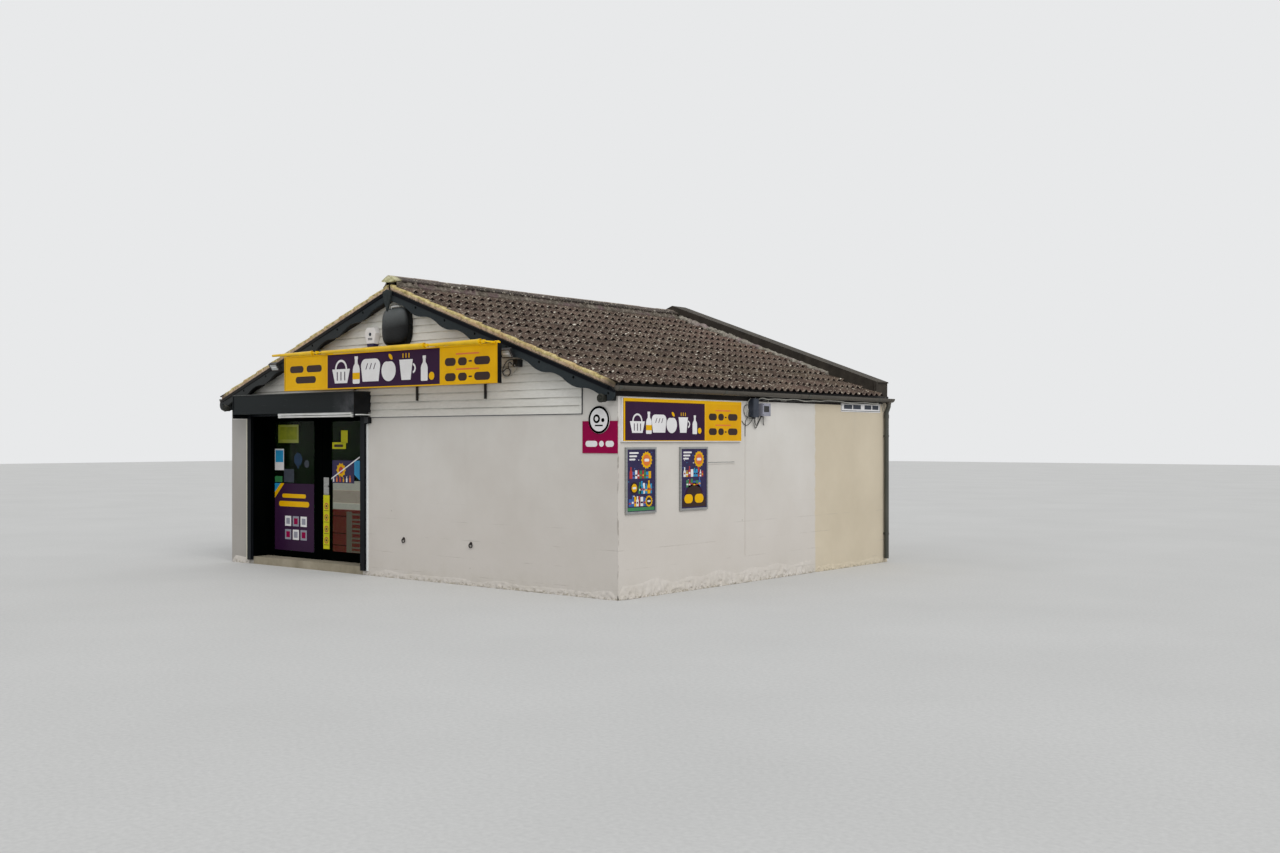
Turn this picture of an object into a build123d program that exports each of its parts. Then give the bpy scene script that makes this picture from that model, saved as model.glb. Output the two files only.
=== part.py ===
from build123d import *
import os
from math import cos, radians, sin, tan

# Single-storey corner shop with a low pitched tiled roof, a scalloped
# gable to the street and a glazed entrance under a roller shutter box.
# The origin is the centre of the footprint at ground level, with +X to
# the right along the front, +Y to the back and +Z up. All sizes in mm.

# Walls and floor
building_w = 7740
building_d = 6320
wall_t = 320
floor_t = 110
head_z = 2165

# Roof. The tile plane is the top of the tile crowns.
roof_pitch = 19.63
eave_overhang = 119
eave_z = 2547
tile_t = 45
slab_t = 185
verge_overhang = 133
roll_pitch = 150
roll_first = 75
roll_foot_w = 84
roll_crown_w = 36
roll_h = 14
roll_bed = 5
plate_w = 130
plate_h = 113
plate_inset = 30
plate_nose = 72
nose_round = 38

# Ridge, verge and party wall
ridge_r = 115
ridge_top_rise = 62
mortar_w = 39
mortar_top_drop = 25
upstand_rise = 150
upstand_sheet = 20
upstand_front = 50

# Bargeboards
board_t = 32
board_drop = 116
scallop_count = 6
scallop_first = 539
scallop_pitch = 556.4
scallop_narrow = 250
scallop_wide = 302
board_hole_r = 19
board_hole_sides = 12
board_hole_drop = 200
fillet_h = 46
fillet_t = 10
scroll_r = 86
scroll_eye_r = 17
scroll_overhang = 75
scroll_open_angle = 40
scroll_side_angle = 25
notch_gap = 2
finial_w = 170
finial_drop = 294
finial_t = 25
finial_waist_share = 0.36
finial_waist_fall = 0.34

# Cladding of the gable
cladding_t = 18
cladding_inset = 553

# Eaves
fascia_t = 22
fascia_low_z = 2415
fascia_high_z = 2512
gutter_r = 56
gutter_t = 3
gutter_rim_z = 2475
strap_t = 3
strap_w = 25
strap_count = 6
strap_plate_h = 30
strap_sides = 24
outlet_r = 40
outlet_h = 26
outlet_up = 28
pipe_r = 34
pipe_sides = 20
pipe_wall_gap = 12
pipe_from_back = 100
pipe_foot_z = 60
pipe_neck_z = 2270
neck_drop = 30
collar_h = 55
clip_h = 30
clip_t = 4
clip_z = (420, 1900)

# Entrance opening and roller shutter
pier_w = 562
open_w = 2568
open_top = 2250
lining_t = 12
recess_d = 270
box_past_opening = 180
box_depth = 300
box_low_z = 2230
box_high_z = 2516
box_lip_t = 8
box_lip_h = 34
box_brow_h = 16
end_plate_t = 10
end_plate_low_z = 2170
guide_w = 92
guide_t = 50
guide_low_z = 60
curtain_t = 20
curtain_front = 40
curtain_gap = 1
groove_depth = 60
curtain_tuck = 50
bottom_rail_h = 60
bottom_rail_drop = 30

# Glazed screen and door
frame_depth = 50
jamb_w = 35
header_h = 60
mullion_w = 100
light_bay_w = 1164
stile_w = 85
lock_stile_w = 180
light_rail_h = 90
door_rail_h = 127
top_rail_h = 60
sash_t = 44
glass_t = 8
door_gap = 8
handle_w = 120
handle_h = 250
handle_t = 4
handle_z = 1185
lever_r = 9
lever_round = 8.8
lever_out = 46
lever_len = 105

# Door hinges, on the inner face
knuckle_r = 10
knuckle_h = 45
hinge_pin_r = 6
knuckle_gap = 1
knuckle_sides = 16
hinge_clearance = 0.3
hinge_plate_t = 4
hinge_z = (330, 1150, 1970)

# Lamp under the shutter box
lamp_w = 1668
lamp_inset = 62
lamp_depth = 270
batten_w = 40
batten_h = 30
lamp_cap_r = 17
lamp_tube_r = 13
lamp_cap_l = 32
lamp_hang = 20

# Fascia sign with its trough light
sign_left_x = -1982
sign_right_x = 2300
sign_low_z = 2540
sign_high_z = 3026
sign_front = 400
sign_t = 70
sign_rim_w = 16
sign_rim_t = 7
rail_x = (-875, 415, 1705)
rail_w = 25
rail_low_z = 2370
rail_high_z = 2990
arm_z = (2620, 2930)
trough_front = 580
trough_z = 3034
trough_spans = ((-2014, -1100), (-902, 1198), (1254, 2186))
trough_thin_r = 15
trough_thick_r = 31
trough_sides = 16
trough_rod_r = 11
trough_rod_end = 2290
trough_arm_x = (-1001, 1226, 2238)
trough_arm_r = 11
trough_arm_sides = 8
trough_knuckle = 52

# Fittings on the gable
housing_x = 92
housing_w = 510
housing_drop = 123
housing_h = 512
housing_t = 110
housing_waist = 452
housing_round = 42
housing_bevel = 24
alarm_x = -466
alarm_drop = 493
alarm_w = 247
alarm_h = 278
alarm_t = 80
alarm_top_share = 0.32
alarm_shoulder_share = 0.2
alarm_foot_share = 0.26
alarm_taper = 6
flood_x = (-2440, 2290)
flood_drop = (71, 125)
flood_front = 232
flood_round = 8
flood_stub_w = 24
flood_w = 185
flood_h = 120
flood_t = 42
flood_tilt = 35
sensor_x = 2310
sensor_drop = 351
sensor_size = 92
sensor_w = 74
sensor_round = 10
ring_x = (117, 1416)
ring_z = 510
ring_r = 27
ring_wire = 10
ring_sides = 16
eye_plate_r = 20
eye_plate_t = 8

# Signs, frames and boxes on the walls
plate_sign_w = 541
plate_sign_inset = 4
plate_sign_low_z = 1698
plate_sign_high_z = 2074
plate_sign_t = 10
disc_from_corner = 280
disc_z = 2088
disc_r = 163
disc_t = 8
wall_sign_front = 38
wall_sign_back = 2423
wall_sign_low_z = 1832
wall_sign_high_z = 2346
wall_sign_t = 32
poster_front = (114, 1143)
poster_w = 563
poster_low_z = 990
poster_high_z = 1767
poster_t = 26
poster_rim = 24
poster_recess = 9
wire_box_front = 2616
wire_box_back = 2741
wire_box_low_z = 2148
wire_box_high_z = 2394
wire_box_t = 90
meter_box_front = 2800
meter_box_back = 2986
meter_box_low_z = 2168
meter_box_high_z = 2335
meter_box_t = 110
name_from_back = 220
name_w = 1144
name_low_z = 2263
name_high_z = 2409
name_t = 6
name_round = 14
box_round = 12

# Derived places
half_w = building_w / 2
front_y = -building_d / 2
slope = tan(radians(roof_pitch))
slope_x = cos(radians(roof_pitch))
tile_end_x = half_w + eave_overhang
room_back = building_d - wall_t
open_left_x = -half_w + pier_w
open_right_x = open_left_x + open_w
box_left_x = open_left_x - guide_w
box_right_x = open_right_x + box_past_opening
cladding_half_w = half_w - cladding_inset
plate_outer_x = half_w - plate_inset
plate_inner_x = plate_outer_x - plate_w


def tile_z(x):
    """Height of the tile plane at a distance x from the ridge."""
    return eave_z + slope * (tile_end_x - abs(x))


def slab_top(x):
    return tile_z(x) - tile_t


def soffit(x):
    return slab_top(x) - slab_t


def board_top(x):
    return tile_z(x) - board_drop


wall_top = soffit(plate_outer_x) - plate_h


def front_plane(depth):
    """Upright plane behind the front face, X right and Z up, facing the street."""
    return Plane.XZ.offset(-(front_y + depth))


def side_plane(x):
    """Upright plane across the building, facing right."""
    return Plane.YZ.offset(x)


def block(x0, z0, x1, z1, mode=Mode.ADD):
    """Rectangle between two corners of the sketch."""
    with Locations(((x0 + x1) / 2, (z0 + z1) / 2)):
        Rectangle(abs(x1 - x0), abs(z1 - z0), mode=mode)


def chevron(low, high, reach):
    """Band that follows both roof slopes, between two rises over the tile plane."""
    Polygon(
        (-reach, tile_z(reach) + low),
        (0, tile_z(0) + low),
        (reach, tile_z(reach) + low),
        (reach, tile_z(reach) + high),
        (0, tile_z(0) + high),
        (-reach, tile_z(reach) + high),
        align=None,
    )


os.makedirs("parts", exist_ok=True)

# Concrete floor inside the walls, run out through the doorway as its sill
with BuildPart() as floor_slab:
    with BuildSketch(Plane.XY):
        Rectangle(building_w - 2 * wall_t, building_d - 2 * wall_t)
        block(open_left_x, front_y, open_right_x, front_y + wall_t)
    extrude(amount=floor_t)
floor_slab.part.label = "floor_slab"
export_step(floor_slab.part, "parts/floor_slab.step")

# Front wall beside the entrance
with BuildPart() as left_pier:
    with BuildSketch(front_plane(wall_t)):
        block(-half_w, 0, open_left_x, head_z)
    extrude(amount=wall_t)
left_pier.part.label = "left_pier"
export_step(left_pier.part, "parts/left_pier.step")

with BuildPart() as front_panel:
    with BuildSketch(front_plane(wall_t)):
        block(open_right_x, 0, half_w, head_z)
    extrude(amount=wall_t)
front_panel.part.label = "front_panel"
export_step(front_panel.part, "parts/front_panel.step")

# Front gable over the opening, notched for the wall plates
with BuildPart() as gable_wall:
    with BuildSketch(front_plane(wall_t)):
        with BuildLine():
            Polyline(
                (-half_w, head_z),
                (half_w, head_z),
                (half_w, soffit(half_w)),
                (0, soffit(0)),
                (-half_w, soffit(half_w)),
                close=True,
            )
        make_face()
        block(open_left_x, head_z, open_right_x, open_top, mode=Mode.SUBTRACT)
        for side in (-1, 1):
            block(
                side * plate_inner_x,
                wall_top,
                side * plate_outer_x,
                soffit(plate_inner_x) + plate_h,
                mode=Mode.SUBTRACT,
            )
    extrude(amount=wall_t)
gable_wall.part.label = "gable_wall"
export_step(gable_wall.part, "parts/gable_wall.step")

# Side walls, with the outer skin carried up past the wall plate
for side, name in ((1, "right_wall"), (-1, "left_wall")):
    with BuildPart() as side_wall:
        with BuildSketch(front_plane(room_back)):
            with BuildLine():
                Polyline(
                    (side * (half_w - wall_t), 0),
                    (side * half_w, 0),
                    (side * half_w, soffit(half_w)),
                    (side * plate_outer_x, soffit(plate_outer_x)),
                    (side * plate_outer_x, wall_top),
                    (side * (half_w - wall_t), wall_top),
                    close=True,
                )
            make_face()
        extrude(amount=room_back - wall_t)
    side_wall.part.label = name
    export_step(side_wall.part, f"parts/{name}.step")

# Party wall at the back, carried up through the roof
with BuildPart() as back_wall:
    with BuildSketch(front_plane(building_d)):
        with BuildLine():
            Polyline(
                (-half_w, 0),
                (half_w, 0),
                (half_w, tile_z(half_w) + upstand_rise - upstand_sheet),
                (0, tile_z(0) + upstand_rise - upstand_sheet),
                (-half_w, tile_z(half_w) + upstand_rise - upstand_sheet),
                close=True,
            )
        make_face()
    extrude(amount=wall_t)
back_wall.part.label = "back_wall"
export_step(back_wall.part, "parts/back_wall.step")

# Dark sheet over the party wall and down to the slab
with BuildPart() as back_flashing:
    with BuildSketch(front_plane(building_d)):
        chevron(upstand_rise - upstand_sheet, upstand_rise, half_w + fascia_t)
    extrude(amount=wall_t + upstand_front)
    with BuildSketch(front_plane(room_back)):
        chevron(-tile_t, upstand_rise - upstand_sheet, half_w + fascia_t)
    extrude(amount=upstand_front)
back_flashing.part.label = "back_flashing"
export_step(back_flashing.part, "parts/back_flashing.step")

# Wall plates: bevelled to the soffit, with rounded noses past the gable
with BuildPart() as wall_plates:
    for side in (-1, 1):
        with BuildSketch(front_plane(room_back)):
            with BuildLine():
                Polyline(
                    (side * plate_inner_x, wall_top),
                    (side * plate_outer_x, wall_top),
                    (side * plate_outer_x, soffit(plate_outer_x)),
                    (side * plate_inner_x, soffit(plate_inner_x)),
                    close=True,
                )
            make_face()
        extrude(amount=room_back + verge_overhang)
        with BuildSketch(front_plane(-verge_overhang)):
            with Locations((side * (plate_outer_x - plate_w / 2), wall_top + plate_h / 2)):
                RectangleRounded(plate_w, plate_h, nose_round)
        extrude(amount=plate_nose)
wall_plates.part.label = "wall_plates"
export_step(wall_plates.part, "parts/wall_plates.step")

# Roof slopes: rafters and boarding as one slab each, with the rolls of the tiles on top
roll_start_x = ridge_r + notch_gap
roll_room = room_back - upstand_front + verge_overhang - roll_first - roll_foot_w / 2
roll_count = int(roll_room / roll_pitch) + 1
for side, name in ((1, "roof_right"), (-1, "roof_left")):
    with BuildPart() as roof_slope:
        with BuildSketch(front_plane(room_back)):
            with BuildLine():
                Polyline(
                    (0, soffit(0)),
                    (side * half_w, soffit(half_w)),
                    (side * half_w, slab_top(half_w)),
                    (0, slab_top(0)),
                    close=True,
                )
            make_face()
        extrude(amount=room_back + verge_overhang)
        slope_place = Plane(
            origin=(side * roll_start_x, front_y - verge_overhang, slab_top(roll_start_x)),
            x_dir=(0, side, 0),
            z_dir=(side * cos(radians(roof_pitch)), 0, -sin(radians(roof_pitch))),
        )
        with BuildSketch(slope_place):
            with Locations([(side * (roll_first + k * roll_pitch), 0) for k in range(roll_count)]):
                Polygon(
                    (-roll_foot_w / 2, -roll_bed),
                    (roll_foot_w / 2, -roll_bed),
                    (roll_foot_w / 2, 0),
                    (roll_crown_w / 2, roll_h),
                    (-roll_crown_w / 2, roll_h),
                    (-roll_foot_w / 2, 0),
                    align=None,
                )
        extrude(amount=(half_w - roll_h - roll_start_x) / slope_x)
    roof_slope.part.label = name
    export_step(roof_slope.part, f"parts/{name}.step")

# Verge mortar on top of the bargeboards
with BuildPart() as verge_mortar:
    with BuildSketch(front_plane(-verge_overhang)):
        chevron(-board_drop, -mortar_top_drop, tile_end_x)
    extrude(amount=mortar_w)
verge_mortar.part.label = "verge_mortar"
export_step(verge_mortar.part, "parts/verge_mortar.step")


def ridge_section(drop):
    """Half-round ridge tile with its bed down to a drop below the tile plane."""
    crown = tile_z(0) + ridge_top_rise
    spring = crown - ridge_r
    with BuildLine() as outline:
        Polyline(
            (-ridge_r, spring),
            (-ridge_r, tile_z(ridge_r) - drop),
            (0, tile_z(0) - drop),
            (ridge_r, tile_z(ridge_r) - drop),
            (ridge_r, spring),
        )
        ThreePointArc((ridge_r, spring), (0, crown), (-ridge_r, spring))
    make_face(outline.edges())


# Ridge tiles, bedded on the slab and over the verge mortar
with BuildPart() as ridge_tiles:
    with BuildSketch(front_plane(room_back - upstand_front)):
        ridge_section(tile_t)
    extrude(amount=room_back - upstand_front + verge_overhang)
    with BuildSketch(front_plane(-verge_overhang)):
        ridge_section(mortar_top_drop)
    extrude(amount=mortar_w)
ridge_tiles.part.label = "ridge_tiles"
export_step(ridge_tiles.part, "parts/ridge_tiles.step")


def board_low(x, depth):
    return tile_z(x) - depth


# Bargeboards: scalloped lower edge, pierced lobes and a scrolled foot
half_pitch = scallop_pitch / 2
lobe_places = [scallop_first + k * scallop_pitch for k in range(scallop_count)]
last_neck_x = lobe_places[-1] + half_pitch
scroll_x = half_w + scroll_overhang - scroll_r
scroll_z = board_top(scroll_x) - scroll_r / slope_x
scroll_start = (
    scroll_x - scroll_r * sin(radians(scroll_open_angle)),
    scroll_z - scroll_r * cos(radians(scroll_open_angle)),
)
scroll_side = (
    scroll_x + scroll_r * cos(radians(scroll_side_angle)),
    scroll_z - scroll_r * sin(radians(scroll_side_angle)),
)
scroll_crown = (
    scroll_x + scroll_r * sin(radians(roof_pitch)),
    scroll_z + scroll_r * cos(radians(roof_pitch)),
)


def scallop_half(side, start, end):
    """Cyma from one point of the wave to the next: two arcs that run with the slope at its ends."""
    down_slope = (side, -slope)
    middle = ((start[0] + end[0]) / 2, (start[1] + end[1]) / 2)
    first = TangentArc(start, middle, tangent=down_slope)
    second = TangentArc(middle, end, tangent=first % 1)
    return first, second


for side, name in ((1, "bargeboard_right"), (-1, "bargeboard_left")):
    with BuildPart() as bargeboard:
        with BuildSketch(front_plane(-verge_overhang)):
            with BuildLine():
                first_neck_x = lobe_places[0] - half_pitch
                Polyline(
                    (0, board_top(0)),
                    (0, board_low(0, scallop_narrow)),
                    (side * first_neck_x, board_low(first_neck_x, scallop_narrow)),
                )
                for lobe_x in lobe_places:
                    near_neck = (side * (lobe_x - half_pitch), board_low(lobe_x - half_pitch, scallop_narrow))
                    lobe = (side * lobe_x, board_low(lobe_x, scallop_wide))
                    far_neck = (side * (lobe_x + half_pitch), board_low(lobe_x + half_pitch, scallop_narrow))
                    scallop_half(side, near_neck, lobe)
                    scallop_half(side, lobe, far_neck)
                TangentArc(
                    (side * last_neck_x, board_low(last_neck_x, scallop_narrow)),
                    (side * scroll_start[0], scroll_start[1]),
                    tangent=(side, -slope),
                )
                ThreePointArc(
                    (side * scroll_start[0], scroll_start[1]),
                    (side * scroll_side[0], scroll_side[1]),
                    (side * scroll_crown[0], scroll_crown[1]),
                )
                Line((side * scroll_crown[0], scroll_crown[1]), (0, board_top(0)))
            make_face()
            block(
                side * (plate_inner_x - notch_gap),
                wall_top - scroll_r,
                side * (plate_outer_x + notch_gap),
                wall_top + plate_h + notch_gap,
                mode=Mode.SUBTRACT,
            )
            if side < 0:
                block(
                    box_left_x - notch_gap,
                    box_low_z,
                    box_right_x,
                    box_high_z + notch_gap,
                    mode=Mode.SUBTRACT,
                )
            for lobe_x in lobe_places:
                with Locations((side * lobe_x, tile_z(lobe_x) - board_hole_drop)):
                    RegularPolygon(board_hole_r, board_hole_sides, mode=Mode.SUBTRACT)
            with Locations((side * scroll_x, scroll_z)):
                Circle(scroll_eye_r, mode=Mode.SUBTRACT)
        extrude(amount=board_t)
        with BuildSketch(front_plane(-verge_overhang - board_t)):
            with BuildLine():
                Polyline(
                    (0, board_top(0)),
                    (side * scroll_x, board_top(scroll_x)),
                    (side * scroll_x, board_top(scroll_x) - fillet_h),
                    (0, board_top(0) - fillet_h),
                    close=True,
                )
            make_face()
        extrude(amount=fillet_t)
    bargeboard.part.label = name
    export_step(bargeboard.part, f"parts/{name}.step")

# Pointed drop finial over the mitre of the boards
finial_tip_z = board_top(0) - finial_drop
finial_side_z = board_top(finial_w / 2)
with BuildPart() as gable_finial:
    with BuildSketch(front_plane(-verge_overhang - board_t - fillet_t)):
        with BuildLine():
            Polyline((-finial_w / 2, finial_side_z), (0, board_top(0)), (finial_w / 2, finial_side_z))
            for side in (-1, 1):
                Spline(
                    [
                        (side * finial_w / 2, finial_side_z),
                        (
                            side * finial_w * finial_waist_share,
                            finial_side_z - finial_drop * finial_waist_fall,
                        ),
                        (0, finial_tip_z),
                    ],
                )
        make_face()
    extrude(amount=finial_t)
gable_finial.part.label = "gable_finial"
export_step(gable_finial.part, "parts/gable_finial.step")

# Boarded face of the gable, cut away behind the shutter box
with BuildPart() as gable_cladding:
    with BuildSketch(front_plane(0)):
        with BuildLine():
            Polyline(
                (-cladding_half_w, head_z),
                (cladding_half_w, head_z),
                (cladding_half_w, soffit(cladding_half_w)),
                (0, soffit(0)),
                (-cladding_half_w, soffit(cladding_half_w)),
                close=True,
            )
        make_face()
        block(-half_w, head_z, box_right_x, box_high_z, mode=Mode.SUBTRACT)
    extrude(amount=cladding_t)
gable_cladding.part.label = "gable_cladding"
export_step(gable_cladding.part, "parts/gable_cladding.step")

# Fascia boards along both eaves
with BuildPart() as fascia_boards:
    with BuildSketch(front_plane(building_d)):
        for side in (-1, 1):
            block(side * half_w, fascia_low_z, side * (half_w + fascia_t), fascia_high_z)
    extrude(amount=building_d + verge_overhang)
fascia_boards.part.label = "fascia_boards"
export_step(fascia_boards.part, "parts/fascia_boards.step")


def half_round(x, radius, sides=0):
    """Lower half of a disc, or of a polygon, at the gutter's rim."""
    with Locations((x, gutter_rim_z)):
        if sides:
            RegularPolygon(radius, sides)
        else:
            Circle(radius)
    block(x - radius, gutter_rim_z, x + radius, gutter_rim_z + radius, mode=Mode.SUBTRACT)


# Half-round gutters on fascia straps, with an outlet near the back
gutter_x = half_w + fascia_t + gutter_r + strap_t
gutter_len = building_d + verge_overhang
strap_step = (gutter_len - 2 * pipe_from_back) / (strap_count - 1)
pipe_depth = building_d - pipe_from_back
for side, name in ((1, "gutter_right"), (-1, "gutter_left")):
    with BuildPart() as gutter:
        with BuildSketch(front_plane(building_d)):
            half_round(side * gutter_x, gutter_r)
        extrude(amount=gutter_len)
        for k in range(strap_count):
            strap_depth = pipe_from_back - verge_overhang + k * strap_step + strap_w / 2
            with BuildSketch(front_plane(strap_depth)):
                half_round(side * gutter_x, gutter_r + strap_t, strap_sides)
                block(
                    side * (half_w + fascia_t),
                    gutter_rim_z - strap_plate_h,
                    side * (half_w + fascia_t + strap_t),
                    gutter_rim_z + strap_plate_h,
                )
            extrude(amount=strap_w)
        with BuildSketch(Plane.XY.offset(gutter_rim_z - gutter_r - outlet_h)):
            with Locations((side * gutter_x, front_y + pipe_depth)):
                Circle(outlet_r)
        extrude(amount=outlet_h + outlet_up)
        with BuildSketch(front_plane(building_d - gutter_t)):
            half_round(side * gutter_x, gutter_r - gutter_t)
        extrude(amount=gutter_len - 2 * gutter_t, mode=Mode.SUBTRACT)
    gutter.part.label = name
    export_step(gutter.part, f"parts/{name}.step")

# Downpipes, with a mitred swan neck back to the wall, collars and clips
pipe_x = half_w + pipe_wall_gap + pipe_r
outlet_z = gutter_rim_z - gutter_r - outlet_h
with BuildPart() as downpipes:
    for side in (-1, 1):
        with BuildLine(front_plane(pipe_depth)) as pipe_path:
            Polyline(
                (side * gutter_x, outlet_z),
                (side * gutter_x, outlet_z - neck_drop),
                (side * pipe_x, pipe_neck_z),
                (side * pipe_x, pipe_foot_z),
            )
        with BuildSketch(Plane.XY.offset(outlet_z)):
            with Locations((side * gutter_x, front_y + pipe_depth)):
                RegularPolygon(pipe_r, pipe_sides)
        sweep(path=pipe_path.line, transition=Transition.RIGHT)
        with BuildSketch(Plane.XY.offset(pipe_neck_z - pipe_r - collar_h)):
            with Locations((side * pipe_x, front_y + pipe_depth)):
                RegularPolygon(pipe_r + clip_t, pipe_sides)
        extrude(amount=collar_h)
        for z in clip_z:
            with BuildSketch(Plane.XY.offset(z)):
                with Locations((side * pipe_x, front_y + pipe_depth)):
                    RegularPolygon(pipe_r + clip_t, pipe_sides)
                with Locations((side * (half_w + pipe_x) / 2, front_y + pipe_depth)):
                    Rectangle(pipe_x - half_w, pipe_r)
            extrude(amount=clip_h)
downpipes.part.label = "downpipes"
export_step(downpipes.part, "parts/downpipes.step")

# Roller shutter box, with end plates that hang below it
with BuildPart() as shutter_box:
    with BuildSketch(side_plane(box_left_x)):
        block(front_y - box_depth + box_lip_t, box_low_z, front_y, box_high_z)
        block(front_y - box_depth, box_low_z, front_y, box_low_z + box_lip_h)
        block(front_y - box_depth, box_high_z - box_brow_h, front_y, box_high_z)
        block(
            front_y - curtain_front - curtain_gap,
            box_low_z,
            front_y - curtain_front + curtain_t + curtain_gap,
            box_low_z + bottom_rail_h - bottom_rail_drop,
            mode=Mode.SUBTRACT,
        )
    extrude(amount=box_right_x - box_left_x)
    for plate_x in (box_left_x, box_right_x - end_plate_t):
        with BuildSketch(side_plane(plate_x)):
            block(front_y - box_depth, end_plate_low_z, front_y - guide_t, box_high_z)
        extrude(amount=end_plate_t)
shutter_box.part.label = "shutter_box"
export_step(shutter_box.part, "parts/shutter_box.step")

# Grooved guides on the wall face, one each side of the opening
with BuildPart() as shutter_guides:
    with BuildSketch(Plane.XY.offset(guide_low_z)):
        for edge_x, out in ((open_left_x, -1), (open_right_x, 1)):
            block(edge_x, front_y - guide_t, edge_x + out * guide_w, front_y)
            block(
                edge_x,
                front_y - curtain_front - 2 * curtain_gap,
                edge_x + out * groove_depth,
                front_y - curtain_front + curtain_t + 2 * curtain_gap,
                mode=Mode.SUBTRACT,
            )
    extrude(amount=box_low_z - guide_low_z)
shutter_guides.part.label = "shutter_guides"
export_step(shutter_guides.part, "parts/shutter_guides.step")

# Bottom rail of the raised curtain, showing under the box
with BuildPart() as shutter_bottom_rail:
    with BuildSketch(front_plane(-curtain_front + curtain_t)):
        block(
            open_left_x - curtain_tuck,
            box_low_z - bottom_rail_drop,
            open_right_x + curtain_tuck,
            box_low_z + bottom_rail_h - bottom_rail_drop,
        )
    extrude(amount=curtain_t)
shutter_bottom_rail.part.label = "shutter_bottom_rail"
export_step(shutter_bottom_rail.part, "parts/shutter_bottom_rail.step")

# Dark lining of the reveals and head
with BuildPart() as reveal_lining:
    with BuildSketch(front_plane(recess_d)):
        block(open_left_x, floor_t, open_right_x, open_top)
        block(
            open_left_x + lining_t,
            floor_t,
            open_right_x - lining_t,
            open_top - lining_t,
            mode=Mode.SUBTRACT,
        )
    extrude(amount=recess_d)
reveal_lining.part.label = "reveal_lining"
export_step(reveal_lining.part, "parts/reveal_lining.step")

# Entrance screen: a fixed light on the left and the door on the right
screen_back = recess_d + frame_depth
bay_top = open_top - header_h
light_left_x = open_left_x + jamb_w
light_right_x = light_left_x + light_bay_w
door_bay_left_x = light_right_x + mullion_w
door_bay_right_x = open_right_x - jamb_w
door_left_x = door_bay_left_x + door_gap
door_right_x = door_bay_right_x - door_gap
door_low_z = floor_t + door_gap
door_high_z = bay_top - door_gap
hinge_x = door_bay_right_x - door_gap / 2
hinge_depth = screen_back + knuckle_r + knuckle_gap

with BuildPart() as screen_frame:
    with BuildSketch(front_plane(screen_back)):
        block(open_left_x, floor_t, open_right_x, open_top)
        block(light_left_x, floor_t, light_right_x, bay_top, mode=Mode.SUBTRACT)
        block(door_bay_left_x, floor_t, door_bay_right_x, bay_top, mode=Mode.SUBTRACT)
    extrude(amount=frame_depth)
    for z in hinge_z:
        with BuildSketch(Plane.XY.offset(z)):
            with Locations((hinge_x, front_y + hinge_depth)):
                RegularPolygon(knuckle_r, knuckle_sides)
            block(
                hinge_x + door_gap / 2,
                front_y + screen_back,
                open_right_x,
                front_y + screen_back + hinge_plate_t,
            )
            block(
                hinge_x,
                front_y + hinge_depth - hinge_plate_t / 2,
                hinge_x + knuckle_r + door_gap / 2,
                front_y + hinge_depth + hinge_plate_t / 2,
            )
            block(
                hinge_x + knuckle_r,
                front_y + screen_back,
                hinge_x + knuckle_r + door_gap / 2,
                front_y + hinge_depth,
            )
        extrude(amount=knuckle_h)
        with BuildSketch(Plane.XY.offset(z + knuckle_h)):
            with Locations((hinge_x, front_y + hinge_depth)):
                Circle(hinge_pin_r)
        extrude(amount=knuckle_h)
screen_frame.part.label = "screen_frame"
export_step(screen_frame.part, "parts/screen_frame.step")

sash_back = recess_d + (frame_depth + sash_t) / 2
with BuildPart() as side_light_frame:
    with BuildSketch(front_plane(sash_back)):
        block(light_left_x, floor_t, light_right_x, bay_top)
        block(
            light_left_x + stile_w,
            floor_t + light_rail_h,
            light_right_x - stile_w,
            bay_top - top_rail_h,
            mode=Mode.SUBTRACT,
        )
    extrude(amount=sash_t)
side_light_frame.part.label = "side_light_frame"
export_step(side_light_frame.part, "parts/side_light_frame.step")

with BuildPart() as side_light_glass:
    with BuildSketch(front_plane(sash_back - (sash_t - glass_t) / 2)):
        block(
            light_left_x + stile_w,
            floor_t + light_rail_h,
            light_right_x - stile_w,
            bay_top - top_rail_h,
        )
    extrude(amount=glass_t)
side_light_glass.part.label = "side_light_glass"
export_step(side_light_glass.part, "parts/side_light_glass.step")

# Door leaf, flush with the inner face of the screen, with its upper knuckles
with BuildPart() as door_leaf:
    with BuildSketch(front_plane(screen_back)):
        block(door_left_x, door_low_z, door_right_x, door_high_z)
        block(
            door_left_x + lock_stile_w,
            door_low_z + door_rail_h,
            door_right_x - stile_w,
            door_high_z - top_rail_h,
            mode=Mode.SUBTRACT,
        )
    extrude(amount=sash_t)
    for z in hinge_z:
        with BuildSketch(Plane.XY.offset(z + knuckle_h + hinge_clearance)):
            with Locations((hinge_x, front_y + hinge_depth)):
                RegularPolygon(knuckle_r, knuckle_sides)
            block(
                hinge_x - knuckle_r - door_gap / 2,
                front_y + hinge_depth - hinge_plate_t / 2,
                hinge_x,
                front_y + hinge_depth + hinge_plate_t / 2,
            )
            block(
                hinge_x - knuckle_r - door_gap / 2,
                front_y + screen_back,
                hinge_x - knuckle_r,
                front_y + hinge_depth,
            )
            block(
                door_right_x - jamb_w,
                front_y + screen_back,
                hinge_x - knuckle_r,
                front_y + screen_back + hinge_plate_t,
            )
        extrude(amount=knuckle_h)
        with BuildSketch(Plane.XY.offset(z + knuckle_h + hinge_clearance)):
            with Locations((hinge_x, front_y + hinge_depth)):
                Circle(hinge_pin_r + hinge_clearance)
        extrude(amount=knuckle_h, mode=Mode.SUBTRACT)
door_leaf.part.label = "door_leaf"
export_step(door_leaf.part, "parts/door_leaf.step")

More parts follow.
